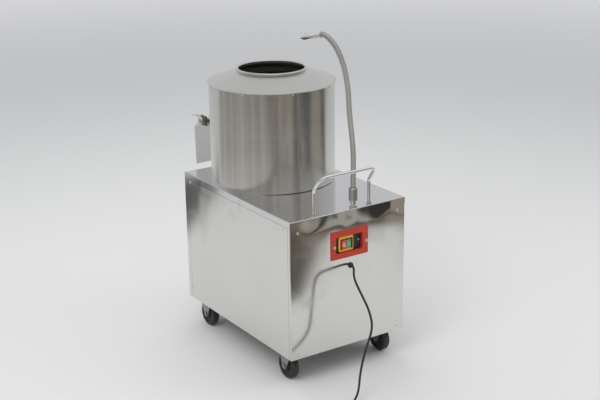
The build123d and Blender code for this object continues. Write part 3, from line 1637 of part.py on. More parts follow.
layer = 2 * cord_r + cord_gap
cord_end = Vector(cord_route[-1])
cord_way = (cord_end - Vector(cord_route[-2])).normalized()
coil_side = cord_way.cross(Vector(0, 0, 1))
coil_start = cord_end + cord_way * (2 * cord_r)
coil_centre = coil_start - coil_side * coil_outer_r
step_in = [min(k, coil_half_turns - 1 - k) for k in range(coil_half_turns)]
climb_turn = coil_half_turns // 2


def coil_point(x, y, z):
    """Returns the place of a point given from the coil's centre, along its two sides."""
    return coil_centre + coil_side * x + cord_way * y + Vector(0, 0, z)


with BuildPart() as cord_coil:
    with BuildLine() as coil_path:
        at = coil_outer_r
        Line(coil_point(at, -2 * cord_r, 0), coil_point(at, 0, 0))
        for k, inward in enumerate(step_in):
            turn_r = coil_outer_r - inward * layer / 2
            way = 1 if k % 2 == 0 else -1
            end = at - 2 * way * turn_r
            mid = (at + end) / 2
            z = 0 if k <= climb_turn else layer
            if k == climb_turn:
                hub = coil_point(mid, 0, layer / 2)
                crest_y = way * sqrt(turn_r * turn_r + layer * layer / 4)
                crest = coil_point(mid, crest_y, layer / 2)
                for first, last in ((coil_point(at, 0, 0), crest), (crest, coil_point(end, 0, layer))):
                    between = hub + (first - hub + last - hub) * sin(pi / 4)
                    ThreePointArc(first, between, last)
            else:
                top = coil_point(mid, way * turn_r, z)
                ThreePointArc(coil_point(at, 0, z), top, coil_point(end, 0, z))
            at = end
        Line(coil_point(at, 0, layer), coil_point(at, -coil_tail, layer))
    with BuildSketch(Plane(coil_path.line @ 0, z_dir=coil_path.line % 0)):
        Circle(cord_r)
    sweep(path=coil_path.line)
coil_wire = coil_path.wires()[0]
coil_length = coil_wire.length
samples = [coil_wire @ (k / coil_samples) for k in range(coil_samples + 1)]
apart = int(coil_samples * 4 * layer / coil_length)
least = min(
    (samples[a] - samples[b]).length
    for a in range(len(samples))
    for b in range(a + apart, len(samples))
)
print("coil length", round(coil_length), "least gap", round(least - 2 * cord_r, 2))
print("coil volume", round(cord_coil.part.volume), "by length", round(pi * cord_r * cord_r * coil_length))
save(cord_coil, "cord_coil")

# Plug on the far end of the cord, resting on the floor beside the coil
plug_start = coil_wire @ 1
plug_way = coil_wire % 1
plug_side = plug_way.cross(Vector(0, 0, 1))
plug_plane = Plane(plug_start, x_dir=plug_side, z_dir=plug_way)
plug_high = 2 * (cord_r + layer)
with BuildPart() as power_plug:
    with BuildSketch(plug_plane):
        Circle(cord_r + gland_tip_wall)
    with BuildSketch(plug_plane.offset(plug_relief)):
        Circle(plug_relief_r)
    loft()
    with BuildSketch(plug_plane.offset(plug_relief)):
        RectangleRounded(plug_width, plug_high, plug_corner_r)
    extrude(amount=plug_length)
    with BuildSketch(plug_plane.offset(plug_relief + plug_length)):
        for side in (-1, 1):
            with Locations(Location((side * plug_pin_out, 0), side * plug_pin_angle)):
                Rectangle(plug_pin_wall, plug_pin_width)
        with Locations((0, -plug_earth_drop)):
            Rectangle(plug_pin_wall, plug_pin_width)
    extrude(amount=plug_pin_length)
save(power_plug, "power_plug")
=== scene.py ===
"""Looks of a commercial potato peeler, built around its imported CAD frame.

Metres, +Z up, floor at z = 0.  -Y is the side with the switch and the push handle,
+Y the side with the discharge chute.
"""

import json
import logging
from dataclasses import dataclass
from enum import Enum
from math import cos, pi, radians, sin
from typing import Any, Callable, Union

import bmesh
import bpy
from mathutils import Matrix, Vector

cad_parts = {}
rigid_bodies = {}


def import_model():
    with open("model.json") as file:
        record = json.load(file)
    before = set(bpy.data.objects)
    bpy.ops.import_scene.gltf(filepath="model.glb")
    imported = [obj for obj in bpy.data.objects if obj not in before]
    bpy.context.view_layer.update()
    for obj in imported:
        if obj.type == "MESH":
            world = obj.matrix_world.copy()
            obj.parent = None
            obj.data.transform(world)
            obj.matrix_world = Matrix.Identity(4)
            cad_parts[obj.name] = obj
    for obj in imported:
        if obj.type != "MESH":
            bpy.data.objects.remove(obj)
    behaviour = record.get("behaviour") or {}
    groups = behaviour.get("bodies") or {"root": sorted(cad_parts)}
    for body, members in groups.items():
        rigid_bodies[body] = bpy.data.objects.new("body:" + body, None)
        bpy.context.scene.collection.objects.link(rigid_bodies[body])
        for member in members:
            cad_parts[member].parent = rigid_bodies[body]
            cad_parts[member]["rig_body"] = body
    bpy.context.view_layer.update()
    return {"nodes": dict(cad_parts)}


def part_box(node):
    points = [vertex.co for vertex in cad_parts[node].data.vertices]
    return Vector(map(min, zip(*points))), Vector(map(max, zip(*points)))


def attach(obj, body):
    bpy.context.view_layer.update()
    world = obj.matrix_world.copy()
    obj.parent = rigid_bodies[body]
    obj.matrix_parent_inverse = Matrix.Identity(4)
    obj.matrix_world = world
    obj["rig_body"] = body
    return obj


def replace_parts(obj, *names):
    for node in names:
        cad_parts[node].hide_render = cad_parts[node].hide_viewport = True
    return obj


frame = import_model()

log = logging.getLogger("potato_peeler")

Point = tuple[float, float, float]
Colour = tuple[float, float, float]
Band = tuple[float, float]
Noise = tuple[float, ...]
Value = Union["Wire", float, int, tuple]

MM = 0.001
DRUM_Y = 66 * MM
DRUM_R = 237.5 * MM
DECK_Z = 627 * MM
WELD = 0.01 * MM
SHARP = radians(34)


def maths_node(operation: str, swapped: bool = False) -> Callable[["Wire", Value], "Wire"]:
    """Makes a Python operator that adds a Math node.

    Args:
        operation: The Math node's operation.
        swapped: Whether the wire is the second value, as in 1 - wire.

    Returns:
        The operator, as a method of a wire.
    """
    def operator(self: "Wire", other: Value) -> "Wire":
        """The result of the Math node."""
        return self.net.maths(operation, *((other, self) if swapped else (self, other)))

    return operator


class Wire:
    """A node socket that takes part in Python expressions."""

    def __init__(self, net: "Net", socket: bpy.types.NodeSocket) -> None:
        """Keeps the socket and the net that it belongs to."""
        self.net = net
        self.socket = socket

    __add__, __radd__ = maths_node("ADD"), maths_node("ADD", swapped=True)
    __sub__, __rsub__ = maths_node("SUBTRACT"), maths_node("SUBTRACT", swapped=True)
    __mul__, __rmul__ = maths_node("MULTIPLY"), maths_node("MULTIPLY", swapped=True)
    __truediv__ = maths_node("DIVIDE")


class Net:
    """A node tree, for shaders or for geometry, written as Python expressions."""

    def __init__(self, tree: bpy.types.NodeTree) -> None:
        """Starts from an empty tree."""
        self.tree = tree
        tree.nodes.clear()

    def add(self, kind: str, settings: dict[str, Any] | None = None,
            sockets: dict[Any, Value] | None = None, out: Any = 0) -> Wire | None:
        """Adds one node.

        Args:
            kind: The node's type.
            settings: Its own settings, which are set first.
            sockets: Values or wires by the input's name or number.
            out: The output to return, by name or number.

        Returns:
            The output as a wire, or None for a node without outputs.
        """
        node = self.tree.nodes.new(kind)
        for name, value in (settings or {}).items():
            setattr(node, name, value)
        for key, value in (sockets or {}).items():
            if isinstance(value, Wire):
                self.tree.links.new(value.socket, node.inputs[key])
            else:
                node.inputs[key].default_value = value
        return Wire(self, node.outputs[out]) if len(node.outputs) else None

    def maths(self, operation: str, *values: Value) -> Wire:
        """Adds a Math node on values or wires."""
        return self.add("ShaderNodeMath", {"operation": operation}, dict(enumerate(values)))

    def turned(self, operation: str, *values: Value) -> Wire:
        """Adds a Vector Math node whose result is a vector."""
        return self.add("ShaderNodeVectorMath", {"operation": operation}, dict(enumerate(values)))

    def parts(self, vector: Wire) -> tuple[Wire, Wire, Wire]:
        """Splits a vector into its three parts."""
        node = self.add("ShaderNodeSeparateXYZ", sockets={0: vector}).socket.node
        return tuple(Wire(self, out) for out in node.outputs)

    def join(self, x: Value, y: Value, z: Value) -> Wire:
        """Joins three values into a vector."""
        return self.add("ShaderNodeCombineXYZ", sockets={0: x, 1: y, 2: z})

    def length(self, x: Wire, y: Wire) -> Wire:
        """The length of a flat vector."""
        return self.maths("SQRT", x * x + y * y)

    def either(self, *masks: Wire) -> Wire:
        """The largest of some masks."""
        result = masks[0]
        for mask in masks[1:]:
            result = self.maths("MAXIMUM", result, mask)
        return result

    def noise(self, vector: Wire, scale: float, detail: float = 2.0, distortion: float = 0.0) -> Wire:
        """A noise from 0 to 1, around 0.5.

        Args:
            vector: Where it is read.
            scale: Cells in a metre.
            detail: Octaves.
            distortion: How much the pattern is bent.

        Returns:
            The noise as a value.
        """
        sockets = {"Vector": vector, "Scale": scale, "Detail": detail, "Distortion": distortion}
        return self.add("ShaderNodeTexNoise", sockets=sockets, out="Fac")

    def smooth(self, value: Wire, low: float, high: float) -> Wire:
        """Goes softly from 0 at low to 1 at high."""
        settings = {"interpolation_type": "SMOOTHSTEP"}
        return self.add("ShaderNodeMapRange", settings, {0: value, 1: low, 2: high})

    def mix(self, share: Value, first: Value, second: Value) -> Wire:
        """Mixes two colours.

        Args:
            share: 0 for the first, 1 for the second.
            first: A colour or a wire.
            second: A colour or a wire.

        Returns:
            The mixed colour.
        """
        pair = [(*c, 1) if isinstance(c, tuple) else c for c in (first, second)]
        return self.add("ShaderNodeMix", {"data_type": "RGBA"}, {0: share, 6: pair[0], 7: pair[1]}, 2)

    def bump(self, height: Wire) -> Wire:
        """Turns a height in metres into a normal."""
        return self.add("ShaderNodeBump", sockets={"Strength": 1.0, "Distance": 1.0, "Height": height})


def shaded(colour: Colour, share: float) -> Colour:
    """The colour, lighter or darker by a factor."""
    return tuple(min(1.0, part * share) for part in colour)


class Grain(Enum):
    """The way that a brushed surface's lines run."""

    LEVEL = "around the machine, level"
    SPUN = "in circles about the drum's axis"
    UPRIGHT = "up and down"


@dataclass(frozen=True)
class Finish:
    """A surface finish, and the material that shows it."""

    name: str
    slot: str
    colour: Colour
    roughness: float

    def extras(self) -> dict[str, Value]:
        """The shader's constant sockets, beside colour and roughness."""
        return {}

    def detail(self, net: Net, at: Wire) -> dict[str, Value]:
        """The shader's varying sockets.

        Args:
            net: The material's nodes.
            at: The place on the surface, in metres.

        Returns:
            Values or wires by socket name.
        """
        return {}

    def cast(self, net: Net, share: Wire, low: float, high: float) -> Wire:
        """The finish's colour, from darker at share 0 to lighter at share 1."""
        return net.mix(share, shaded(self.colour, low), shaded(self.colour, high))

    def material(self) -> bpy.types.Material:
        """The material of this finish, made once."""
        made = bpy.data.materials.get(self.name)
        if made is None:
            made = bpy.data.materials.new(self.name)
            made.use_nodes = True
            net = Net(made.node_tree)
            at = net.add("ShaderNodeTexCoord", out="Object")
            sockets = {"Base Color": (*self.colour, 1), "Roughness": self.roughness}
            sockets.update(self.extras())
            sockets.update(self.detail(net, at))
            surface = net.add("ShaderNodeBsdfPrincipled", sockets=sockets)
            net.add("ShaderNodeOutputMaterial", sockets={"Surface": surface})
        return made


@dataclass(frozen=True)
class PolishedSteel(Finish):
    """Rolled sheet with a mirror polish: slow waves, faint smears and hair scratches."""

    wave: float = 0.16
    wave_rise: float = 0.4 * MM
    smear: float = 0.10
    rim_z: float = 0.0
    rim_rise: float = 0.0
    rim_reach: float = 110 * MM
    rim_polish: float = 0.75
    rim_polish_from: float = 100 * MM
    rim_polish_to: float = 50 * MM
    rim_swell: Noise = (9.0, 1.0)
    hair_rise: float = 0.004 * MM
    hair_rough: float = 0.05
    hair_way: Point = (1.0, 1.0, 14.0)
    hairs: Noise = (120.0, 3.0)
    smears: Noise = (9.0, 4.0, 0.6)
    smear_band: Band = (0.5, 0.75)
    clouds: Noise = (4.0, 2.0)

    def extras(self) -> dict[str, Value]:
        """Bare metal."""
        return {"Metallic": 1.0}

    def detail(self, net: Net, at: Wire) -> dict[str, Value]:
        """Waves in the normal, smears in roughness, a slight cast in colour."""
        smears = net.smooth(net.noise(at, *self.smears), *self.smear_band)
        hairs = net.noise(net.turned("MULTIPLY", at, self.hair_way), *self.hairs)
        rough = self.roughness + self.smear * smears + self.hair_rough * hairs
        cloud = net.noise(at, *self.clouds)
        height = self.wave_rise * net.noise(at, 1 / self.wave, 1.0) + self.hair_rise * hairs
        if self.rim_rise:
            x, y, z = net.parts(at)
            near = net.smooth(z, self.rim_z - self.rim_reach, self.rim_z)
            polish = net.smooth(z, self.rim_z - self.rim_polish_from, self.rim_z - self.rim_polish_to)
            rough = rough * (1 - self.rim_polish * polish)
            swell = net.noise(net.join(x, y, z * 0.5), *self.rim_swell)
            height = height + self.rim_rise * near * swell
        return {
            "Base Color": self.cast(net, cloud, 0.94, 1.04),
            "Roughness": rough,
            "Normal": net.bump(height),
        }


@dataclass(frozen=True)
class BrushedSteel(Finish):
    """Steel with brush lines."""

    grain: Grain = Grain.LEVEL
    line: float = 0.5 * MM
    depth: float = 0.006 * MM
    spread: float = 0.7
    turn: float = 0.25
    streaks: float = 0.10
    drawn: float = 6.0
    fine: Noise = (1.0, 3.0)
    coarse: Noise = (1.0, 2.0)
    coarse_way: Point = (0.5, 0.5, 0.12)
    stains: Noise = (5.0, 3.0, 0.4)
    stain_rough: float = 0.06
    shares: tuple[float, float, float] = (0.45, 0.35, 0.2)

    def extras(self) -> dict[str, Value]:
        """Bare metal whose shine spreads across the brush lines."""
        return {"Metallic": 1.0, "Anisotropic": self.spread, "Anisotropic Rotation": self.turn}

    def along(self, net: Net, at: Wire) -> Wire:
        """The place, stretched so that noise runs in this grain's lines."""
        x, y, z = net.parts(at)
        if self.grain is Grain.LEVEL:
            return net.join(x * self.drawn, y * self.drawn, z / self.line)
        if self.grain is Grain.UPRIGHT:
            return net.join(x / self.line, y / self.line, z * self.drawn)
        return net.join(net.length(x, y - DRUM_Y) / self.line, z * self.drawn, 0.0)

    def detail(self, net: Net, at: Wire) -> dict[str, Value]:
        """Fine and coarse brush lines in colour, roughness and normal."""
        way = self.along(net, at)
        fine = net.noise(way, *self.fine)
        coarse = net.noise(net.turned("MULTIPLY", way, self.coarse_way), *self.coarse)
        stain = net.noise(at, *self.stains)
        share = self.shares[0] * fine + self.shares[1] * coarse + self.shares[2] * stain
        return {
            "Base Color": self.cast(net, share, 0.86, 1.10),
            "Roughness": self.roughness + self.streaks * (coarse - 0.5) + self.stain_rough * stain,
            "Normal": net.bump(self.depth * fine),
        }


@dataclass(frozen=True)
class Plating(Finish):
    """Bright or zinc plating, with faint pits and handling marks."""

    spangle: float = 0.04
    rim: float = 1.0
    ripple: float = 0.01 * MM
    ripples: Noise = (220.0, 2.0)
    marks: Noise = (60.0, 4.0, 0.5)

    def extras(self) -> dict[str, Value]:
        """Bare metal, whose shine may darken where it turns away."""
        return {"Metallic": 1.0, "Specular Tint": (self.rim, self.rim, self.rim, 1)}

    def detail(self, net: Net, at: Wire) -> dict[str, Value]:
        """Marks in roughness, a shallow ripple, slight cast."""
        marks = net.noise(at, *self.marks)
        ripple = net.noise(at, *self.ripples)
        return {
            "Base Color": self.cast(net, marks, 0.9, 1.06),
            "Roughness": self.roughness + self.spangle * marks,
            "Normal": net.bump(self.ripple * ripple),
        }


@dataclass(frozen=True)
class Paint(Finish):
    """Paint or enamel on metal: a peel texture, dust, and wear."""

    peel: float = 0.02 * MM
    cell: float = 1.4 * MM
    gloss_coat: float = 0.0
    coat_rough: float = 0.12
    dust: Noise = (22.0, 5.0, 0.8)
    dust_band: Band = (0.45, 0.8)
    dust_rough: float = 0.14
    peel_rough: float = 0.05

    def extras(self) -> dict[str, Value]:
        """A clear coat where the paint has one."""
        return {"Coat Weight": self.gloss_coat, "Coat Roughness": self.coat_rough}

    def detail(self, net: Net, at: Wire) -> dict[str, Value]:
        """Peel in the normal, dust in colour and roughness."""
        peel = net.noise(at, 1 / self.cell, 2.0)
        worn = net.smooth(net.noise(at, *self.dust), *self.dust_band)
        return {
            "Base Color": self.cast(net, worn, 0.93, 1.12),
            "Roughness": self.roughness + self.dust_rough * worn + self.peel_rough * peel,
            "Normal": net.bump(self.peel * peel),
        }


@dataclass(frozen=True)
class Moulded(Finish):
    """Moulded plastic or rubber with a fine spark texture."""

    texture: float = 0.012 * MM
    cell: float = 0.5 * MM
    dust: float = 0.25
    dust_grey: float = 0.5
    dust_share: float = 0.06
    handling: Noise = (45.0, 3.0, 0.5)
    handled_rough: float = 0.12

    def detail(self, net: Net, at: Wire) -> dict[str, Value]:
        """Spark texture in the normal, handling shine and dust."""
        spark = net.noise(at, 1 / self.cell, 2.0)
        touched = net.noise(at, *self.handling)
        pale = tuple(part + (self.dust_grey - part) * self.dust_share for part in self.colour)
        return {
            "Base Color": net.mix(self.dust * touched, self.colour, pale),
            "Roughness": self.roughness + self.handled_rough * (touched - 1 / 3),
            "Normal": net.bump(self.texture * spark),
        }


@dataclass(frozen=True)
class Tyre(Moulded):
    """A solid rubber wheel with turned rings on its flanks."""

    centre_y: float = 0.0
    centre_z: float = 0.05
    pitch: float = 5.5 * MM
    ring: float = 0.25 * MM
    ring_rough: float = 0.05
    scuffs: Noise = (70.0, 4.0, 0.6)
    scuff_band: Band = (0.5, 0.8)
    scuff_rough: float = 0.15
    scuff_grey: float = 0.05

    def detail(self, net: Net, at: Wire) -> dict[str, Value]:
        """Rings about the axle over the moulded texture."""
        centred = net.turned("SUBTRACT", at, (0.0, self.centre_y, self.centre_z))
        x, y, z = net.parts(centred)
        ring = net.maths("SINE", net.length(y, z) * (2 * pi / self.pitch))
        spark = net.noise(at, 1 / self.cell, 2.0)
        scuffs = net.noise(at, *self.scuffs)
        grey = tuple(part + self.scuff_grey for part in self.colour)
        return {
            "Base Color": net.mix(net.smooth(scuffs, *self.scuff_band), self.colour, grey),
            "Roughness": self.roughness + self.scuff_rough * scuffs - self.ring_rough * ring,
            "Normal": net.bump(self.ring * ring + self.texture * spark),
        }


@dataclass(frozen=True)
class Casting(Finish):
    """Sand-cast metal under paint or bare."""

    metal: float = 0.0
    pit: float = 0.15 * MM
    cell: float = 3.0 * MM
    pit_rough: float = 0.15
    patches: Noise = (14.0, 3.0)

    def extras(self) -> dict[str, Value]:
        """Metal or painted."""
        return {"Metallic": self.metal}

    def detail(self, net: Net, at: Wire) -> dict[str, Value]:
        """Pitted skin."""
        pitted = net.noise(at, 1 / self.cell, 4.0, 0.3)
        share = 0.5 * pitted + 0.5 * net.noise(at, *self.patches)
        return {
            "Base Color": self.cast(net, share, 0.8, 1.18),
            "Roughness": self.roughness + self.pit_rough * pitted,
            "Normal": net.bump(self.pit * pitted),
        }


@dataclass(frozen=True)
class Grit(Finish):
    """Bonded abrasive: dark resin with paler grains. The colours used here are near black: the abrasive's
    own dark tone, darkened further as painted shade for the inside of the drum.
    """

    cell: float = 2.2 * MM
    pale: Colour = (0.035, 0.033, 0.03)
    rise: float = 0.6 * MM
    grain_band: Band = (0.15, 0.65)
    tone_band: Band = (0.35, 0.7)
    grain_shine: float = 0.2

    def detail(self, net: Net, at: Wire) -> dict[str, Value]:
        """Grains as cells, pale and dark, standing up from the resin."""
        cells = net.add("ShaderNodeTexVoronoi", {"feature": "F1"},
                        {"Vector": at, "Scale": 1 / self.cell}, "Distance")
        tone = net.smooth(net.noise(at, 1 / self.cell, 1.0), *self.tone_band)
        grain = 1 - net.smooth(cells, *self.grain_band)
        return {
            "Base Color": net.mix(grain * tone, self.colour, self.pale),
            "Roughness": self.roughness - self.grain_shine * grain,
            "Normal": net.bump(self.rise * grain),
        }


MIRROR_DECK = PolishedSteel(
    "mirror_deck", "stainless_polished", (0.70, 0.70, 0.71), 0.07, 0.30, 0.25 * MM)
MIRROR_FRONT = PolishedSteel(
    "mirror_front_sheet", "stainless_polished", (0.73, 0.725, 0.70), 0.09, 0.22, 0.5 * MM,
    rim_z=DECK_Z, rim_rise=-2.6 * MM)
MIRROR_SIDE = PolishedSteel(
    "mirror_side_sheet", "stainless_polished", (0.73, 0.73, 0.71), 0.10, 0.26, 0.5 * MM)
BRUSHED_DRUM = BrushedSteel("brushed_drum_steel", "stainless_brushed", (0.68, 0.675, 0.65), 0.20)
BRUSHED_PLATE = BrushedSteel("brushed_plate_steel", "stainless_brushed", (0.66, 0.66, 0.65), 0.28,
                             Grain.UPRIGHT, spread=0.5, turn=0.0)
SPUN_LID = BrushedSteel("spun_lid_steel", "stainless_satin", (0.69, 0.685, 0.66), 0.31, Grain.SPUN,
                        0.8 * MM, spread=0.2)
SATIN_CHUTE = BrushedSteel("satin_chute_steel", "stainless_satin", (0.68, 0.68, 0.66), 0.32, Grain.LEVEL,
                           spread=0.3)
CHROME = Plating("bright_plating", "chrome", (0.84, 0.85, 0.84), 0.14)
HOSE_STEEL = Plating("hose_steel", "chrome", (0.52, 0.515, 0.49), 0.26, rim=0.12)
ZINC = Plating("zinc_plating", "zinc_steel", (0.60, 0.60, 0.58), 0.34, 0.12)
# The zinc plating made darker for the castor forks: painted shade from the cabinet's underside.
ZINC_PAINTED_SHADE = Plating("zinc_plating_painted_shade", "zinc_steel", (0.34, 0.34, 0.33), 0.38, 0.12)
ZINC_HEAD = Plating("zinc_screw_heads", "zinc_steel", (0.84, 0.86, 0.86), 0.26, 0.1)
BARE_STEEL = Plating("machined_steel", "bare_steel", (0.52, 0.52, 0.53), 0.28, 0.10)
PRIMER = Paint("frame_primer", "frame_steel", (0.16, 0.165, 0.17), 0.5)
MOTOR_PAINT = Paint("motor_enamel", "motor_paint", (0.05, 0.10, 0.17), 0.38, gloss_coat=0.3)
OLIVE_PAINT = Paint("olive_paint", "bracket_olive", (0.095, 0.088, 0.05), 0.42)
RED_PAINT = Paint("red_tray_paint", "tray_red", (0.50, 0.037, 0.015), 0.42, 0.012 * MM, 1.1 * MM, 0.1)
CAST_IRON = Casting("painted_casting", "cast_housing", (0.10, 0.105, 0.115), 0.5)
CAST_DISC = Casting("cast_aluminium", "cast_disc", (0.46, 0.455, 0.44), 0.45, 1.0)
# Near-black grit: the abrasive's own dark tone, darkened further as painted shade for the inside of the
# drum.
ABRASIVE_AND_PAINTED_SHADE = Grit("abrasive_grit_and_painted_shade", "abrasive", (0.006, 0.0058, 0.0055), 0.95)
BLACK_RUBBER = Moulded("black_rubber", "black_rubber", (0.022, 0.022, 0.022), 0.6)
SWITCH_BLACK = Moulded(
    "switch_black_plastic", "switch_black", (0.018, 0.018, 0.020), 0.42, 0.03 * MM, 0.9 * MM)
BEZEL_YELLOW = Moulded("bezel_yellow_plastic", "bezel_yellow", (0.80, 0.42, 0.02), 0.30)
BUTTON_RED = Moulded("stop_button_plastic", "button_red", (0.66, 0.06, 0.05), 0.28)
BUTTON_GREEN = Moulded("start_button_plastic", "button_green", (0.10, 0.30, 0.13), 0.28)
MARK_WHITE = Moulded("mark_white_ink", "button_red", (0.78, 0.78, 0.76), 0.4)
CORD_SHEATH = Moulded(
    "cord_sheath", "cord_black", (0.012, 0.012, 0.013), 0.45, 0.02 * MM, 0.6 * MM)


def dress(finish: Finish, *nodes: str) -> None:
    """Gives CAD nodes a finish.

    Args:
        finish: The finish.
        nodes: Names of CAD nodes, whose shapes stay as they are.
    """
    for name in nodes:
        node = frame["nodes"][name]
        for place in node.material_slots:
            place.material = finish.material()
        if not node.material_slots:
            node.data.materials.append(finish.material())
    log.info("%s on %s", finish.name, ", ".join(nodes))


def copied(name: str) -> bmesh.types.BMesh:
    """A welded copy of a CAD node's shape, in the row frame."""
    node = frame["nodes"][name]
    shape = bmesh.new()
    shape.from_mesh(node.data)
    shape.transform(node.matrix_world)
    bmesh.ops.remove_doubles(shape, verts=shape.verts, dist=WELD)
    return shape


def meshed(shape: bmesh.types.BMesh, name: str, outwards: bool = True) -> bpy.types.Mesh:
    """Turns a shape into a mesh and frees it.

    Args:
        shape: The shape.
        name: The mesh's name.
        outwards: Whether its faces are turned outwards first.

    Returns:
        The mesh.
    """
    if outwards:
        bmesh.ops.recalc_face_normals(shape, faces=shape.faces)
    mesh = bpy.data.meshes.new(name)
    shape.to_mesh(mesh)
    shape.free()
    return mesh


def skin(shape: bmesh.types.BMesh, loops: list[list[bmesh.types.BMVert]], round_again: bool = False) -> None:
    """Joins loops of corners by faces, each loop to the next.

    Args:
        shape: The shape that holds the corners.
        loops: Loops of equal count.
        round_again: Whether the last loop joins the first.
    """
    for near, far in zip(loops, loops[1:] + loops[:1] if round_again else loops[1:]):
        for k in range(len(near)):
            after = (k + 1) % len(near)
            shape.faces.new((near[k], near[after], far[after], far[k]))


def placed(name: str, data: Any) -> bpy.types.Object:
    """A new object of the scene."""
    piece = bpy.data.objects.new(name, data)
    bpy.context.scene.collection.objects.link(piece)
    return piece


def refined(finish: Finish, *nodes: str) -> None:
    """Shows smooth copies of CAD nodes in place of the faceted ones.

    Args:
        finish: The finish.
        nodes: Names of CAD nodes.
    """
    for name in nodes:
        shape = copied(name)
        bmesh.ops.recalc_face_normals(shape, faces=shape.faces)
        for face in shape.faces:
            face.smooth = True
        for side in shape.edges:
            side.smooth = len(side.link_faces) == 2 and side.calc_face_angle() < SHARP
        mesh = meshed(shape, name + "_shown", outwards=False)
        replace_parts(show(name + "_shown", mesh, finish, frame["nodes"][name]["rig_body"]), name)


def show(name: str, mesh: bpy.types.Mesh, finish: Finish | None, body: str) -> bpy.types.Object:
    """Puts a finished mesh on a body.

    Args:
        name: The piece's name.
        mesh: Its mesh, in the row frame.
        finish: Its finish, or None where the mesh has it already.
        body: The body that it rides on.

    Returns:
        The new piece.
    """
    piece = placed(name, mesh)
    if finish is not None:
        mesh.materials.clear()
        mesh.materials.append(finish.material())
    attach(piece, body)
    log.info("%s: %d faces on %s", name, len(mesh.polygons), body)
    return piece


class Pattern:
    """A Geometry Nodes tree with named inputs, run on a holder and made a plain mesh."""

    def __init__(self, name: str, inputs: dict[str, str]) -> None:
        """Starts a tree.

        Args:
            name: The tree's name.
            inputs: Socket types by the input's name.
        """
        self.tree = bpy.data.node_groups.new(name, "GeometryNodeTree")
        self.net = Net(self.tree)
        faces = self.tree.interface
        faces.new_socket("Geometry", in_out="INPUT", socket_type="NodeSocketGeometry")
        for key, kind in inputs.items():
            faces.new_socket(key, in_out="INPUT", socket_type=kind)
        faces.new_socket("Geometry", in_out="OUTPUT", socket_type="NodeSocketGeometry")
        self.entry = self.net.add("NodeGroupInput").socket.node

    def __getitem__(self, name: str) -> Wire:
        """The named input as a wire."""
        return Wire(self.net, self.entry.outputs[name])

    def close(self, shape: Wire, smooth: bool = True) -> None:
        """Ends the tree in plain, shaded geometry with its material.

        Args:
            shape: The geometry, with or without instances.
            smooth: Whether it shades smoothly.
        """
        real = self.net.add("GeometryNodeRealizeInstances", sockets={0: shape})
        real = self.net.add("GeometryNodeSetShadeSmooth", sockets={0: real, "Shade Smooth": smooth})
        real = self.net.add("GeometryNodeSetMaterial", sockets={0: real, "Material": self["Material"]})
        self.net.add("NodeGroupOutput", sockets={0: real})

    def run(self, holder: bpy.types.Object, values: dict[str, Any]) -> bpy.types.Mesh:
        """Runs the tree.

        Args:
            holder: An object whose geometry goes in, and which is removed.
            values: The inputs by name.

        Returns:
            The result as a plain mesh.
        """
        bpy.context.scene.collection.objects.link(holder)
        modifier = holder.modifiers.new("pattern", "NODES")
        modifier.node_group = self.tree
        for item in self.tree.interface.items_tree:
            if item.in_out == "INPUT" and item.name in values:
                modifier[item.identifier] = values[item.name]
        holder.update_tag()
        graph = bpy.context.evaluated_depsgraph_get()
        graph.update()
        mesh = bpy.data.meshes.new_from_object(holder.evaluated_get(graph))
        holder.modifiers.remove(modifier)
        bpy.data.objects.remove(holder)
        return mesh


FAR_FLOOR: Colour = (0.96, 0.965, 0.985)
ROOM_GREY: Colour = (0.24, 0.235, 0.22)
ROOM_ASH: Colour = (0.50, 0.48, 0.45)


@dataclass(frozen=True)
class Edge:
    """A soft edge across the floor, where across_x * x + across_y * y goes from start to end."""

    across_x: float
    across_y: float
    start: float
    end: float

    def mask(self, net: Net, x: Wire, y: Wire) -> Wire:
        """0 before the edge, 1 past it."""
        return net.smooth(self.across_x * x + self.across_y * y, self.start, self.end)


def past_all(net: Net, x: Wire, y: Wire, *edges: Edge) -> Wire:
    """1 past all of some edges, 0 elsewhere."""
    result = edges[0].mask(net, x, y)
    for edge in edges[1:]:
        result = result * edge.mask(net, x, y)
    return result


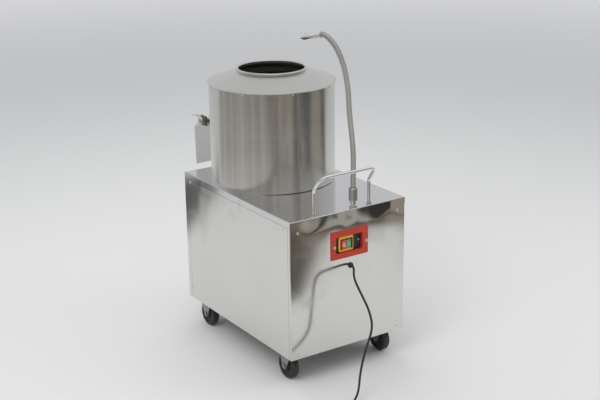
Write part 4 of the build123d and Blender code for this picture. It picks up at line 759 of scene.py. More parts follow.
@dataclass
class StudioFloor:
    """A pale floor. In mirrors, the dark studio floor shows past the edges of its paper sweep."""

    size: float = 40.0
    steps: int = 96
    z: float = -0.4 * MM
    near_floor: Colour = (0.755, 0.76, 0.755)
    mid_floor: Colour = (0.69, 0.70, 0.715)
    near_out: Band = (1.0, 4.5)
    far_out: Band = (4.5, 11.5)
    dark: Colour = (0.085, 0.072, 0.058)
    tan: Colour = (0.34, 0.30, 0.25)
    streaks: Noise = (3.4, 2.0)
    streak_band: Band = (0.40, 0.66)
    fine_streaks: Noise = (11.0, 3.0)
    fine_band: Band = (0.34, 0.66)
    lit_edge: Edge = Edge(-0.835, 0.55, -0.35, 0.75)
    sweep_wave: float = 0.08
    sweep_noise: Noise = (1.7, 1.0)
    sweep_edge: Edge = Edge(-0.28, 1.0, -1.966, -2.056)
    left_edges: tuple[Edge, ...] = (
        Edge(1.0, 0.935, -0.752, -0.832), Edge(1.0, 0.0, 0.0, 0.2), Edge(0.0, 1.0, -1.024, -1.154))
    right_edges: tuple[Edge, ...] = (Edge(1.0, 0.8, -0.15, -0.09), Edge(0.0, 1.0, -1.48, -1.54))
    patch: Colour = (0.10, 0.098, 0.092)
    patch_edges: tuple[Edge, ...] = (Edge(1.1, 1.0, 0.38, 0.50), Edge(1.0, 0.0, -0.62, -0.72))
    patch_out: Band = (2.45, 2.25)
    ring_edge: Edge = Edge(0.532, 0.847, 0.36, 0.26)
    ring_out: Band = (1.95, 2.20)
    fold_pale: Colour = (0.40, 0.385, 0.35)
    fold_front: float = -1.825
    fold_bend_x: float = 0.93
    fold_slope: float = 0.30
    fold_lip: Band = (-0.010, -0.030)
    fold_edges: tuple[Edge, ...] = (Edge(1.0, 0.0, 0.80, 0.93), Edge(1.0, 0.0, 1.24, 1.14))
    gap_dark: Colour = (0.045, 0.042, 0.040)
    line_share: float = 0.7
    line_half: Band = (0.022, 0.006)
    line_edge: Edge = Edge(1.0, 0.0, 0.70, 0.80)
    strip_front: float = -1.797
    strip_slope: float = 0.16
    strip_half: Band = (0.026, 0.012)
    strip_edges: tuple[Edge, ...] = (Edge(1.0, 0.0, 0.75, 0.81), Edge(1.0, 0.0, 1.10, 1.03))
    wedge_edges: tuple[Edge, ...] = (
        Edge(-1.0, -1.2, 0.908, 0.938), Edge(1.0, 0.0, 1.13, 1.24), Edge(0.0, 1.0, -1.85, -1.87))

    def build(self) -> None:
        """Makes the floor and its material."""
        shape = bmesh.new()
        bmesh.ops.create_circle(shape, cap_ends=True, segments=self.steps, radius=self.size)
        bmesh.ops.translate(shape, verts=shape.verts, vec=(0, 0, self.z))
        mesh = meshed(shape, "studio_floor", outwards=False)
        paper = bpy.data.materials.new("pale_floor")
        paper.use_nodes = True
        net = Net(paper.node_tree)
        at = net.add("ShaderNodeTexCoord", out="Object")
        x, y, _ = net.parts(at)
        out = net.length(x, y)
        pale = net.mix(net.smooth(out, *self.near_out), self.near_floor, self.mid_floor)
        pale = net.mix(net.smooth(out, *self.far_out), pale, FAR_FLOOR)
        room, seen = self.mirrored(net, at)
        rays = net.add("ShaderNodeLightPath", out="Is Glossy Ray")
        surface = net.add("ShaderNodeBsdfDiffuse", sockets={"Color": net.mix(seen * rays, pale, room)})
        net.add("ShaderNodeOutputMaterial", sockets={"Surface": surface})
        mesh.materials.append(paper)
        placed("studio_floor", mesh)
        log.info("floor of %.0f m", self.size)

    def before(self, net: Net, at: Wire) -> Wire:
        """Where the floor lies past the sweep's wavy front edge or its two side edges.

        Args:
            net: The floor's nodes.
            at: The place on the floor.

        Returns:
            1 past the edges, 0 on the paper.
        """
        x, y, _ = net.parts(at)
        wave = self.sweep_wave * (net.noise(at, *self.sweep_noise) - 0.5)
        return net.either(self.sweep_edge.mask(net, x, y + wave),
                          past_all(net, x, y, *self.left_edges), past_all(net, x, y, *self.right_edges))

    def mirrored(self, net: Net, at: Wire) -> tuple[Wire, Wire]:
        """The studio's floor as mirrors see it: streaks that run out from the drum.

        Args:
            net: The floor's nodes.
            at: The place on the floor.

        Returns:
            Its colour, and 1 where it takes the paper's place.
        """
        x, y, _ = net.parts(at)
        way = net.turned("NORMALIZE", net.join(x, y - DRUM_Y, 0.0))
        wx, wy, _ = net.parts(way)
        streak = net.smooth(net.noise(way, *self.streaks), *self.streak_band)
        fine = net.smooth(net.noise(way, *self.fine_streaks), *self.fine_band)
        lit = self.lit_edge.mask(net, wx, wy)
        shelf = net.mix(fine, net.mix(lit, self.dark, ROOM_GREY), net.mix(lit, self.tan, ROOM_ASH))
        before = self.before(net, at)
        room = net.mix(before, shelf, net.mix(streak, self.dark, self.tan))
        out = net.length(x, y - DRUM_Y)
        patch = past_all(net, x, y, *self.patch_edges) * net.smooth(out, *self.patch_out)
        ring = self.ring_edge.mask(net, wx, wy) * net.smooth(out, *self.ring_out)
        room = net.mix(patch, self.fold(net, x, y, room), self.patch)
        return room, net.either(before, patch, ring)

    def fold(self, net: Net, x: Wire, y: Wire, room: Wire) -> Wire:
        """The torn far edge of the paper sweep: a pale fold between dark gaps.

        Args:
            net: The floor's nodes.
            x: The place on the floor, across.
            y: The place on the floor, along.
            room: The colour beyond the sweep.

        Returns:
            That colour with the fold and its gaps.
        """
        bend = self.fold_slope * net.maths("MAXIMUM", self.fold_bend_x - x, 0.0)
        lip = y - self.fold_front + bend
        pale = net.smooth(lip, *self.fold_lip) * past_all(net, x, y, *self.fold_edges)
        line = net.smooth(net.maths("ABSOLUTE", lip), *self.line_half) * self.line_edge.mask(net, x, y)
        strip = net.maths("ABSOLUTE", y - self.strip_front + self.strip_slope * x)
        strip = net.smooth(strip, *self.strip_half) * past_all(net, x, y, *self.strip_edges)
        wedge = past_all(net, x, y, *self.wedge_edges)
        room = net.mix(pale, room, self.fold_pale)
        return net.mix(net.either(self.line_share * line, strip, wedge), room, self.gap_dark)


@dataclass
class Studio:
    """Camera, soft lamps and the room that the steel mirrors."""

    eye: Point = (-2.32376, -3.63462, 1.96459)
    yaw: float = 33.450
    pitch: float = 18.188
    roll: float = -0.715
    lens: float = 71.17
    sensor: float = 36.0
    reach: float = 200.0
    camera_side: Point = (-0.55, -0.835, 0.0)
    level: float = 0.72
    wall_streaks: Noise = (7.0, 3.0)
    wall_band: Band = (0.36, 0.66)
    backdrop: Colour = (0.65, 0.655, 0.675)
    backdrop_turn: Band = (-0.30, 0.35)
    ceiling: Colour = (0.75, 0.75, 0.735)
    ceiling_side: Colour = (0.63, 0.63, 0.635)
    ceiling_turn: Band = (0.0, 0.6)
    ceiling_rise: Band = (0.25, 0.75)
    zenith: Colour = (1.15, 1.15, 1.13)
    zenith_rise: Band = (0.60, 0.78)
    zenith_side: Band = (0.10, -0.20)
    boxes: tuple[tuple[str, Point, float, float], ...] = (
        ("key_box", (-2.6, -1.4, 3.2), 2.2, 46.0),
        ("fill_box", (2.8, -1.8, 2.2), 1.8, 14.0),
        ("top_box", (0.3, 1.6, 3.4), 2.4, 22.0),
    )
    boxes_aim: Point = (0.0, 0.0, 0.5)

    def camera(self) -> None:
        """Sets the camera at the photograph's place."""
        lens = bpy.data.cameras.new("camera")
        lens.lens = self.lens
        lens.sensor_width = self.sensor
        lens.clip_end = self.reach
        seat = placed("camera", lens)
        turn = Matrix.Rotation(radians(-self.yaw), 4, "Z")
        turn = turn @ Matrix.Rotation(radians(90 - self.pitch), 4, "X")
        turn = turn @ Matrix.Rotation(radians(self.roll), 4, "Z")
        seat.matrix_world = Matrix.Translation(self.eye) @ turn
        bpy.context.scene.camera = seat
        log.info("camera at %s", self.eye)

    def room(self) -> None:
        """The room: even light on matt things, pale backdrop, darker camera side in mirrors."""
        world = bpy.data.worlds.new("studio")
        world.use_nodes = True
        bpy.context.scene.world = world
        net = Net(world.node_tree)
        x, y, z = net.parts(net.add("ShaderNodeTexCoord", out="Object"))
        toward = self.camera_side[0] * x + self.camera_side[1] * y
        streak = net.smooth(net.noise(net.join(x, y, 0.0), *self.wall_streaks), *self.wall_band)
        walls = net.mix(streak, ROOM_GREY, ROOM_ASH)
        walls = net.mix(net.smooth(toward, *self.backdrop_turn), self.backdrop, walls)
        high = net.mix(net.smooth(toward, *self.ceiling_turn), self.ceiling_side, self.ceiling)
        above = net.mix(net.smooth(z, *self.ceiling_rise), walls, high)
        top = net.smooth(z, *self.zenith_rise) * net.smooth(y, *self.zenith_side)
        above = net.mix(top, above, self.zenith)
        rays = net.add("ShaderNodeLightPath").socket.node
        camera, through, glossy = (Wire(net, rays.outputs[f"Is {kind} Ray"])
                                   for kind in ("Camera", "Transmission", "Glossy"))
        lit = net.mix(glossy, (self.level,) * 3, above)
        colour = net.mix(net.either(camera, through), lit, FAR_FLOOR)
        shader = net.add("ShaderNodeBackground", sockets={"Color": colour, "Strength": 1.0})
        net.add("ShaderNodeOutputWorld", sockets={"Surface": shader})

    def lamps(self) -> None:
        """Soft boxes: a key above the left front, a fill at the right, one over the back."""
        for name, place, size, watts in self.boxes:
            light = bpy.data.lights.new(name, "AREA")
            light.size = size
            light.energy = watts
            lamp = placed(name, light)
            lamp.visible_glossy = False
            aim = Vector(self.boxes_aim) - Vector(place)
            turn = aim.to_track_quat("-Z", "Y").to_matrix().to_4x4()
            lamp.matrix_world = Matrix.Translation(place) @ turn
            log.info("lamp %s, %.0f W", name, watts)

    def build(self) -> None:
        """Makes the camera, the room and the lamps."""
        self.camera()
        self.room()
        self.lamps()
        bpy.context.scene.view_settings.view_transform = "Standard"


@dataclass
class MainsLead:
    """The black lead: down from its gland to the floor, then a put-away coil and its plug."""

    diameter: float = 8 * MM
    layer: float = 8.6 * MM
    outer_turn: float = 51 * MM
    half_turns: int = 9
    steps: int = 9
    tail: float = 24 * MM
    length: float = 1.88
    route: tuple[Point, ...] = (
        (7, -441, 416.5), (3.5, -455, 413), (-7, -468, 406.5), (-18, -484, 397.5), (-27, -505, 386),
        (-34, -536, 368.5), (-38, -568, 346), (-35, -593, 315), (-32, -606, 281), (-32, -611, 257),
        (-36, -611, 229), (-43, -606, 200), (-51, -600, 163), (-60, -597, 128), (-72, -602, 98),
        (-86, -613, 71), (-99, -627, 48), (-113, -638, 29), (-129, -645, 14.5), (-147, -651, 6),
        (-168, -656, 4), (-190, -660, 4), (-214, -662, 4),
    )

    def coil(self, points: list[Vector]) -> list[Vector]:
        """The put-away turns, as more points after the route's last.

        Args:
            points: The route, in metres.

        Returns:
            The coil's control points, to the plug.
        """
        way = (points[-1] - points[-2]).normalized()
        side = way.cross(Vector((0, 0, 1)))
        start = points[-1] + way * self.diameter
        centre = start - side * self.outer_turn
        # A cubic-like spline cuts its corners: its control points stand out by this much.
        grow = 8 / (6 + 2 * cos(pi / self.steps))
        made = []
        at = self.outer_turn
        climb = self.half_turns // 2
        for k in range(self.half_turns):
            turn_r = self.outer_turn - min(k, self.half_turns - 1 - k) * self.layer / 2
            sign = 1 if k % 2 == 0 else -1
            middle = at - sign * turn_r
            for j in range(self.steps):
                share = (j + 0.5) / self.steps
                turn = pi * share
                rise = 0.0 if k < climb else self.layer if k > climb else self.layer * share
                across = middle + sign * turn_r * grow * cos(turn)
                along = sign * turn_r * grow * sin(turn)
                made.append(centre + side * across + way * along + Vector((0, 0, rise)))
            at = middle - sign * turn_r
        high = Vector((0, 0, self.layer))
        made.append(centre + side * at - way * (self.tail / 2) + high)
        made.append(centre + side * at - way * self.tail + high)
        return made

    def build(self) -> None:
        points = [Vector(p) * MM for p in self.route]
        points += self.coil(points)
        curve = bpy.data.curves.new("mains_lead", "CURVE")
        curve.dimensions = "3D"
        curve.resolution_u = 6
        curve.bevel_depth = self.diameter / 2
        curve.bevel_resolution = 5
        curve.use_fill_caps = True
        line = curve.splines.new("NURBS")
        line.points.add(len(points) - 1)
        for place, point in zip(line.points, points):
            place.co = (*point, 1.0)
        line.order_u = 3
        line.use_endpoint_u = True
        curve.materials.append(CORD_SHEATH.material())
        lead = placed("mains_lead", curve)
        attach(lead, "machine")
        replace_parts(lead, "power_cord", "cord_coil")
        refined(BLACK_RUBBER, "cord_gland", "power_plug")
        log.info("mains lead of %d points", len(points))


@dataclass
class Screws:
    """Cross-recess heads in place of the CAD's plain ones."""

    sides: int = 20
    recess_half: float = 0.12
    recess_reach: float = 0.44
    recess_floor: float = 0.10
    recess_draft: float = 0.75
    plain_r: float = 4.5 * MM
    tray_r: float = 5.5 * MM
    body_r: float = 3.2 * MM
    bezel_r: float = 3.4 * MM
    side_x: float = 250 * MM
    side_rows: tuple[float, ...] = (-386 * MM, 278 * MM)
    side_levels: tuple[float, ...] = (157 * MM, 594 * MM)
    end_faces: tuple[tuple[float, float], ...] = ((-429 * MM, -1), (321 * MM, 1))
    end_spots: tuple[tuple[float, float], ...] = (
        (-217, 127), (0, 127), (217, 127), (-217, 583), (217, 583))
    rim_count: int = 8
    rim_first: float = -103.5
    rim_z: float = 998 * MM
    crown: tuple[tuple[float, float], ...] = (
        (1.0, -0.05), (1.0, 0.10), (0.95, 0.24), (0.83, 0.36), (0.66, 0.43), (0.56, 0.45))

    def head(self) -> bpy.types.Object:
        """One head of radius 1 on the origin, pointing up."""
        shape = bmesh.new()
        rings = [
            [shape.verts.new((r * cos(2 * pi * k / self.sides), r * sin(2 * pi * k / self.sides), z))
             for k in range(self.sides)]
            for r, z in self.crown
        ]
        skin(shape, rings)
        shape.faces.new(rings[0][::-1])
        half, reach, top = self.recess_half, self.recess_reach, self.crown[-1][1]
        corner = [(reach, -half), (reach, half), (half, half)]
        outline = []
        for quarter in range(4):
            c, s = round(cos(quarter * pi / 2)), round(sin(quarter * pi / 2))
            outline += [(x * c - y * s, x * s + y * c) for x, y in corner]
        rim = [shape.verts.new((x, y, top)) for x, y in outline]
        foot = [shape.verts.new((x * self.recess_draft, y * self.recess_draft, self.recess_floor))
                for x, y in outline]
        edges = [shape.edges.new((rim[k], rim[(k + 1) % len(rim)])) for k in range(len(rim))]
        crown = rings[-1]
        edges += [shape.edges.get((crown[k], crown[(k + 1) % self.sides])) for k in range(self.sides)]
        bmesh.ops.triangle_fill(shape, use_beauty=True, edges=edges, normal=(0, 0, 1))
        skin(shape, [rim, foot])
        shape.faces.new(foot)
        return placed("screw_head", meshed(shape, "screw_head"))

    def pattern(self) -> Pattern:
        """A tree that sets a head on each point, along its own way and at its own size."""
        tree = Pattern("set_screws", {"Head": "NodeSocketObject", "Seed": "NodeSocketInt",
                                      "Material": "NodeSocketMaterial"})
        net = tree.net
        way = net.add("GeometryNodeInputNamedAttribute", {"data_type": "FLOAT_VECTOR"}, {"Name": "way"})
        size = net.add("GeometryNodeInputNamedAttribute", {"data_type": "FLOAT"}, {"Name": "size"})
        points = net.add("GeometryNodeMeshToPoints", sockets={0: tree["Geometry"]})
        up = net.add("FunctionNodeAlignRotationToVector", {"axis": "Z"}, {"Vector": way})
        turn = net.add("FunctionNodeRandomValue", {"data_type": "FLOAT"},
                       {2: 0.0, 3: pi, "Seed": tree["Seed"]}, 1)
        spin = net.add("FunctionNodeAxisAngleToRotation", sockets={"Axis": (0, 0, 1), "Angle": turn})
        up = net.add("FunctionNodeRotateRotation", {"rotation_space": "LOCAL"}, {0: up, 1: spin})
        head = net.add("GeometryNodeObjectInfo", sockets={"Object": tree["Head"]}, out="Geometry")
        heads = net.add("GeometryNodeInstanceOnPoints",
                        sockets={"Points": points, "Instance": head, "Rotation": up, "Scale": size})
        tree.close(heads, smooth=False)
        return tree

    def places(self) -> dict[str, list[tuple[Vector, Vector, float]]]:
        """Place, way and radius of every head, by the CAD node that holds it."""
        panel = [(Vector((side * self.side_x, y, z)), Vector((side, 0, 0)), self.plain_r)
                 for side in (-1, 1) for y in self.side_rows for z in self.side_levels]
        panel += [(Vector((x * MM, y, z * MM)), Vector((0, way, 0)), self.plain_r)
                  for y, way in self.end_faces for x, z in self.end_spots]
        rim = []
        for k in range(self.rim_count):
            turn = radians(self.rim_first + 360 / self.rim_count * k)
            out = Vector((cos(turn), sin(turn), 0))
            rim.append((Vector((0, DRUM_Y, self.rim_z)) + out * DRUM_R, out, self.plain_r))
        ahead = Vector((0, -1, 0))
        switch = [(Vector(place) * MM, ahead, radius) for place, radius in (
            ((-63, -431, 497), self.tray_r), ((76, -431, 497), self.tray_r),
            ((49, -419, 503), self.body_r),
            ((-2, -424, 477.5), self.bezel_r), ((-2, -424, 524.5), self.bezel_r))]
        return {"panel_screws": panel, "lid_screws": rim, "switch_screws": switch}

    def build(self) -> None:
        """Sets all heads, one plain mesh for each CAD node that they stand for."""
        head = self.head()
        tree = self.pattern()
        for seed, (node, rows) in enumerate(self.places().items(), start=3):
            mesh = bpy.data.meshes.new(node)
            mesh.from_pydata([place for place, _, _ in rows], [], [])
            way = mesh.attributes.new("way", "FLOAT_VECTOR", "POINT")
            way.data.foreach_set("vector", [part for _, out, _ in rows for part in out])
            size = mesh.attributes.new("size", "FLOAT", "POINT")
            size.data.foreach_set("value", [r for _, _, r in rows])
            values = {"Head": head, "Seed": seed, "Material": ZINC_HEAD.material()}
            made = tree.run(bpy.data.objects.new(node + "_holder", mesh), values)
            piece = show(node.replace("screws", "screw_heads"), made, None, "machine")
            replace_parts(piece, node)
        bpy.data.objects.remove(head)


@dataclass
class Cabinet:
    """Deck, panels and the steel frame under them."""

    bend: float = 2.2 * MM
    bend_steps: int = 4
    near: float = 0.05 * MM

    def bent(self, finish: Finish, name: str, edge_of: Callable[[Vector], bool]) -> None:
        """Shows a sheet with its outer folds rounded.

        Args:
            finish: The finish.
            name: The CAD node.
            edge_of: Whether a place is on a fold.
        """
        shape = copied(name)
        bmesh.ops.recalc_face_normals(shape, faces=shape.faces)
        folds = [side for side in shape.edges
                 if all(edge_of(corner.co) for corner in side.verts) and len(side.link_faces) == 2
                 and radians(60) < side.calc_face_angle() < radians(120)]
        made = bmesh.ops.bevel(shape, geom=folds, offset=self.bend, segments=self.bend_steps, profile=0.5,
                               affect="EDGES")
        for face in shape.faces:
            face.smooth = False
        for face in made["faces"]:
            face.smooth = True
        mesh = meshed(shape, name + "_shown", outwards=False)
        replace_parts(show(name + "_shown", mesh, finish, frame["nodes"][name]["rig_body"]), name)
        log.info("%s: %d fold edges rounded", name, len(folds))

    def build(self) -> None:
        """Dresses the sheets and the frame."""
        near = self.near
        deck_low, deck_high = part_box("top_deck")
        front_low, front_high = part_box("front_panel")

        def deck_fold(at: Vector) -> bool:
            """Whether a place is on the deck's outer top edge."""
            return at.z > deck_high.z - near and (
                at.x < deck_low.x + near or at.x > deck_high.x - near
                or at.y < deck_low.y + near or at.y > deck_high.y - near)

        def front_fold(at: Vector) -> bool:
            """Whether a place is on an upright front edge of the front panel."""
            return at.y < front_low.y + near and (
                at.x < front_low.x + near or at.x > front_high.x - near)

        self.bent(MIRROR_DECK, "top_deck", deck_fold)
        self.bent(MIRROR_FRONT, "front_panel", front_fold)
        dress(MIRROR_SIDE, "left_side_panel", "right_side_panel", "rear_panel")
        dress(PRIMER, "base_frame", "corner_posts", "top_ring", "cross_bars")


@dataclass
class Castors:
    """Plates, forks and rubber wheels."""

    def build(self) -> None:
        """Dresses the castors, each wheel with rings about its own axle."""
        dress(ZINC, "castor_plates", "castor_bolts")
        # The forks take the darker zinc: painted shade under the cabinet.
        refined(ZINC_PAINTED_SHADE, "front_left_fork", "front_right_fork", "rear_forks")
        for name in ("front_left", "front_right", "rear_left", "rear_right"):
            low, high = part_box(name + "_wheel")
            middle = (low + high) / 2
            refined(Tyre(name + "_tyre_rubber", "tyre_black", (0.020, 0.020, 0.021), 0.5,
                         centre_y=middle.y, centre_z=middle.z), name + "_wheel")


@dataclass
class DriveLine:
    """Motor, belts, pulleys, bearing housing and spindle."""

    def build(self) -> None:
        """Dresses the drive."""
        dress(MOTOR_PAINT, "motor_body")
        dress(PRIMER, "motor_plate", "bearing_plate")
        dress(CAST_IRON, "bearing_housing", "drum_pulley", "motor_pulley")
        dress(BARE_STEEL, "spindle", "spindle_bearings", "motor_shaft")
        dress(ZINC, "housing_bolts")
        dress(BLACK_RUBBER, "drive_belts", "shaft_seal")


@dataclass
class PeelingDrum:
    """Shell, pan, liner and the disc with its grit."""

    foot_start: float = 226.0
    foot_end: float = 306.0
    foot_fat: float = 2.4 * MM
    foot_thin_share: float = 0.15
    foot_fullness: float = 0.7
    foot_sunk: float = 0.2 * MM
    foot_lift: float = 0.05 * MM
    foot_steps: int = 72
    grains_apart: float = 5.5 * MM
    disc_grains_apart: float = 5.0 * MM
    grain_small: float = 0.9 * MM
    grain_large: float = 1.875 * MM
    grains_most: float = 60000.0
    turn_most: float = 6.28
    hub_r: float = 52 * MM

    def foot(self) -> None:
        """A dark crescent at the shell's foot, fattest in the middle of its arc along the front: painted
        shade, a black rubber strip standing for the shadow gap between the shell and the deck.
        """
        shape = bmesh.new()
        rings = []
        for step in range(self.foot_steps + 1):
            share = step / self.foot_steps
            turn = radians(self.foot_start + (self.foot_end - self.foot_start) * share)
            swell = self.foot_thin_share + (1 - self.foot_thin_share) * sin(pi * share) ** self.foot_fullness
            fat = swell * self.foot_fat
            rings.append([
                shape.verts.new((r * cos(turn), DRUM_Y + r * sin(turn), DECK_Z + z))
                for r, z in ((DRUM_R - self.foot_sunk, self.foot_lift), (DRUM_R + fat, self.foot_lift),
                             (DRUM_R + 0.8 * fat, 0.7 * fat), (DRUM_R - self.foot_sunk, fat))
            ])
        skin(shape, rings)
        shape.faces.new(rings[0])
        shape.faces.new(rings[-1][::-1])
        # Painted shade: this black strip stands for the shadow where the shell meets the deck.
        show("drum_foot_seal", meshed(shape, "drum_foot_seal"), BLACK_RUBBER, "machine")

    def grit(self) -> None:
        """Loose-looking grains bonded to the liner and to the top of the disc."""
        tree = Pattern("scatter_grit", {
            "Grain": "NodeSocketObject", "Apart": "NodeSocketFloat", "Density": "NodeSocketFloat",
            "Small": "NodeSocketFloat", "Large": "NodeSocketFloat", "Facing": "NodeSocketVector",
            "Least": "NodeSocketFloat", "Inner": "NodeSocketFloat", "Seed": "NodeSocketInt",
            "Material": "NodeSocketMaterial"})
        net = tree.net
        normal = net.add("GeometryNodeInputNormal")
        place = net.add("GeometryNodeInputPosition")
        x, y, z = net.parts(place)
        nx, ny, nz = net.parts(normal)
        fx, fy, fz = net.parts(tree["Facing"])
        out = net.length(x, y - DRUM_Y)
        inward = (nx * x + ny * (y - DRUM_Y)) / out
        facing = nz * fz - inward * fx
        chosen = net.maths("GREATER_THAN", facing, tree["Least"])
        chosen = chosen * net.maths("GREATER_THAN", out, tree["Inner"])
        spread = net.add("GeometryNodeDistributePointsOnFaces", {"distribute_method": "POISSON"},
                         {"Mesh": tree["Geometry"], "Selection": chosen, "Distance Min": tree["Apart"],
                          "Density Max": tree["Density"], "Seed": tree["Seed"]})
        turn = net.add("FunctionNodeRandomValue", {"data_type": "FLOAT_VECTOR"},
                       {0: (0, 0, 0), 1: (self.turn_most,) * 3, "Seed": tree["Seed"]})
        size = net.add("FunctionNodeRandomValue", {"data_type": "FLOAT"},
                       {2: tree["Small"], 3: tree["Large"], "Seed": tree["Seed"]}, 1)
        stone = net.add("GeometryNodeObjectInfo", sockets={"Object": tree["Grain"]}, out="Geometry")
        stones = net.add("GeometryNodeInstanceOnPoints",
                         sockets={"Points": spread, "Instance": stone, "Rotation": turn, "Scale": size})
        tree.close(stones, smooth=False)
        shape = bmesh.new()
        bmesh.ops.create_cone(shape, cap_ends=True, segments=5, radius1=1.0, radius2=0.35, depth=1.5)
        grain = placed("grain", meshed(shape, "grain", outwards=False))
        for name, node, body, facing, least, inner, apart, seed in (
            ("liner_grit", "abrasive_liner", "machine", (1, 0, 0), 0.7, 0.0, self.grains_apart, 11),
            ("disc_grit", "abrasive_disc", "spindle_set", (0, 0, 1), 0.6, self.hub_r,
             self.disc_grains_apart, 12),
        ):
            copy = meshed(copied(node), name + "_holder", outwards=False)
            values = {"Grain": grain, "Apart": apart, "Density": self.grains_most,
                      "Small": self.grain_small, "Large": self.grain_large,
                      "Facing": facing, "Least": least, "Inner": inner, "Seed": seed,
                      "Material": ABRASIVE_AND_PAINTED_SHADE.material()}
            made = tree.run(bpy.data.objects.new(name + "_holder", copy), values)
            piece = show(name, made, None, body)
        bpy.data.objects.remove(grain)

    def build(self) -> None:
        """Dresses the drum and scatters its grit."""
        refined(BRUSHED_DRUM, "drum")
        refined(BRUSHED_PLATE, "drum_pan", "drain_pipe")
        # The liner's near-black colour is partly its own tone and partly painted shade inside the drum.
        dress(ABRASIVE_AND_PAINTED_SHADE, "abrasive_liner")
        refined(CAST_DISC, "abrasive_disc")
        refined(BARE_STEEL, "disc_cap_nut")
        # Painted shade: a dark strip at the shell's foot.
        self.foot()
        self.grit()


@dataclass
class DrumLid:
    """The spun cone with its rolled mouth."""

    def build(self) -> None:
        """Dresses the lid."""
        refined(SPUN_LID, "lid")


@dataclass
class Discharge:
    """Chute, gate, its pin brackets and lever."""

    def build(self) -> None:
        """Dresses the discharge side."""
        refined(SATIN_CHUTE, "discharge_chute", "discharge_gate")
        refined(SATIN_CHUTE, "lift_lever")
        refined(OLIVE_PAINT, "pivot_brackets")
        dress(BLACK_RUBBER, "gate_seal")


@dataclass
class PushHandle:
    """The bent rod and its nuts."""

    def build(self) -> None:
        """Dresses the handle."""
        refined(CHROME, "push_handle", "handle_nuts")


@dataclass
class WaterSpout:
    """Nipple, swivelling ferrule, ribbed gooseneck and nozzle."""

    x: float = 28 * MM
    y: float = -415 * MM
    start_z: float = 689.3 * MM
    lean: float = 0.06
    reach: float = 173 * MM
    rise: float = 529 * MM
    end_way: Point = (-0.06, 0.975, -0.21)
    shares: tuple[tuple[float, float], ...] = (
        (0, 0), (0.006, 0.287), (0.12, 0.526), (0.18, 0.7), (0.335, 0.845), (0.613, 0.955), (1, 1))
    ribs: int = 100
    rib_steps: int = 8
    sides: int = 24
    crown: float = 9.5 * MM
    root: float = 8.2 * MM
    rib_rise: Band = (0.0, 0.3)
    rib_fall: Band = (0.55, 0.85)

    def line(self) -> bpy.types.Object:
        """The gooseneck's centreline, a smooth line close to the CAD's arcs."""
        points = [
            Vector((self.x - self.lean * out * self.reach, self.y + out * self.reach,
                    self.start_z + up * self.rise))
            for out, up in self.shares
        ]
        curve = bpy.data.curves.new("gooseneck_line", "CURVE")
        curve.dimensions = "3D"
        curve.resolution_u = 24
        line = curve.splines.new("BEZIER")
        line.bezier_points.add(len(points) - 1)
        for k, (place, point) in enumerate(zip(line.bezier_points, points)):
            before = (point - points[k - 1]).length if k else 0.0
            after = (points[k + 1] - point).length if k + 1 < len(points) else 0.0
            if k == 0:
                way = Vector((0, 0, 1))
            elif k + 1 == len(points):
                way = Vector(self.end_way)
            else:
                way = (point - points[k - 1]) / before * after + (points[k + 1] - point) / after * before
            way = way.normalized()
            place.handle_left_type = place.handle_right_type = "FREE"
            place.co = point
            place.handle_left = point - way * before / 3
            place.handle_right = point + way * after / 3
        return bpy.data.objects.new("gooseneck_line", curve)

    def pattern(self) -> Pattern:
        """A tree that sweeps a rod whose radius follows the ribs along the line."""
        tree = Pattern("ribbed_hose", {
            "Ribs": "NodeSocketInt", "Steps": "NodeSocketInt", "Sides": "NodeSocketInt",
            "Root": "NodeSocketFloat", "Crown": "NodeSocketFloat", "Material": "NodeSocketMaterial"})
        net = tree.net
        count = tree["Ribs"] * tree["Steps"] + 1
        line = net.add("GeometryNodeResampleCurve", {"mode": "COUNT"}, {0: tree["Geometry"], "Count": count})
        along = net.add("GeometryNodeSplineParameter", out="Factor")
        phase = net.maths("FRACT", along * tree["Ribs"] + 0.0001)
        hump = net.smooth(phase, *self.rib_rise) * (1 - net.smooth(phase, *self.rib_fall))
        radius = tree["Root"] + (tree["Crown"] - tree["Root"]) * hump
        circle = net.add("GeometryNodeCurvePrimitiveCircle",
                         sockets={"Resolution": tree["Sides"], "Radius": 1.0})
        hose = net.add("GeometryNodeCurveToMesh",
                       sockets={"Curve": line, "Profile Curve": circle, "Scale": radius, "Fill Caps": True})
        tree.close(hose)
        return tree

    def build(self) -> None:
        """Makes the ribbed gooseneck and dresses its fittings."""
        values = {"Ribs": self.ribs, "Steps": self.rib_steps, "Sides": self.sides, "Root": self.root,
                  "Crown": self.crown, "Material": HOSE_STEEL.material()}
        made = self.pattern().run(self.line(), values)
        hose = show("ribbed_gooseneck", made, None, "spout")
        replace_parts(hose, "gooseneck_hose")
        refined(CHROME, "water_nipple", "spray_nozzle")
        refined(HOSE_STEEL, "hose_ferrule")


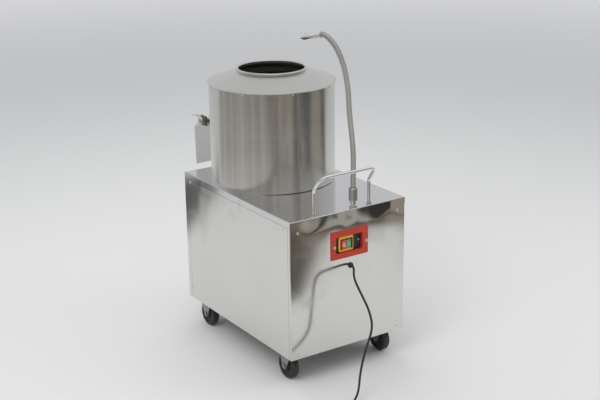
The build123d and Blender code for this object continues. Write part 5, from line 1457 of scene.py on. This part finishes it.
@dataclass
class SwitchBox:
    """Red tray, black body, yellow bezel and the two marked buttons."""

    face_y: float = -426.5 * MM
    bezel_y: float = -424 * MM
    well: tuple[float, float, float, float] = (-33.9, 19.9, 479.3, 519.2)
    gap: tuple[float, float, float, float] = (-28.8, 10.8, 480.1, 514.9)
    well_rise: float = 0.35 * MM
    mark_z: float = 497.5 * MM
    stop_x: float = -19 * MM
    start_x: float = 1 * MM
    ring_out: float = 6.6 * MM
    ring_in: float = 4.4 * MM
    ring_squash: float = 0.78
    ring_steps: int = 48
    bar_half: float = 0.9 * MM
    bar_reach: float = 5.2 * MM
    bar_steps: int = 8
    proud: float = 0.35 * MM

    def inset(self) -> None:
        """The dark well in the bezel, round the two buttons."""
        shape = bmesh.new()
        rows = []
        back, front = self.bezel_y + self.well_rise, self.bezel_y - self.well_rise
        for (left, right, low, high), y in ((self.well, back), (self.well, front), (self.gap, front),
                                            (self.gap, back)):
            corners = ((left, low), (right, low), (right, high), (left, high))
            rows.append([shape.verts.new((x * MM, y, z * MM)) for x, z in corners])
        skin(shape, rows, round_again=True)
        show("bezel_well", meshed(shape, "bezel_well"), SWITCH_BLACK, "machine")

    def ring(self) -> None:
        """The O on the stop button, upright oval."""
        shape = bmesh.new()
        back, front = self.face_y, self.face_y - self.proud
        loops = []
        for step in range(self.ring_steps):
            turn = 2 * pi * step / self.ring_steps
            loops.append([
                shape.verts.new((self.stop_x + self.ring_squash * r * cos(turn), y,
                                 self.mark_z + r * sin(turn)))
                for r, y in ((self.ring_in, back), (self.ring_in, front), (self.ring_out, front),
                             (self.ring_out, back))
            ])
        skin(shape, loops, round_again=True)
        show("stop_mark", meshed(shape, "stop_mark"), MARK_WHITE, "stop_button")

    def bar(self) -> None:
        """The I on the start button, with rounded ends."""
        shape = bmesh.new()
        outline = []
        reach = self.bar_reach - self.bar_half
        for end in (1, -1):
            for step in range(self.bar_steps + 1):
                turn = pi * step / self.bar_steps + (0 if end == 1 else pi)
                outline.append((self.start_x + self.bar_half * cos(turn),
                                self.mark_z + end * reach + self.bar_half * sin(turn)))
        back = [shape.verts.new((x, self.face_y, z)) for x, z in outline]
        front = [shape.verts.new((x, self.face_y - self.proud, z)) for x, z in outline]
        shape.faces.new(back)
        shape.faces.new(front)
        skin(shape, [back, front])
        show("start_mark", meshed(shape, "start_mark"), MARK_WHITE, "start_button")

    def build(self) -> None:
        """Dresses the switch and marks its buttons."""
        refined(RED_PAINT, "switch_tray")
        refined(SWITCH_BLACK, "switch_body")
        refined(BEZEL_YELLOW, "switch_bezel")
        refined(BUTTON_RED, "stop_button")
        refined(BUTTON_GREEN, "start_button")
        self.inset()
        self.ring()
        self.bar()


def main() -> None:
    """Builds the studio and every sub-assembly."""
    logging.basicConfig(level=logging.INFO, format="%(name)s %(message)s")
    for part in (Studio(), StudioFloor(), MainsLead(), Cabinet(), Castors(), DriveLine(), PeelingDrum(),
                 DrumLid(), Discharge(), PushHandle(), WaterSpout(), SwitchBox(), Screws()):
        log.info("building %s", type(part).__name__)
        part.build()


if __name__ == "__main__":
    main()
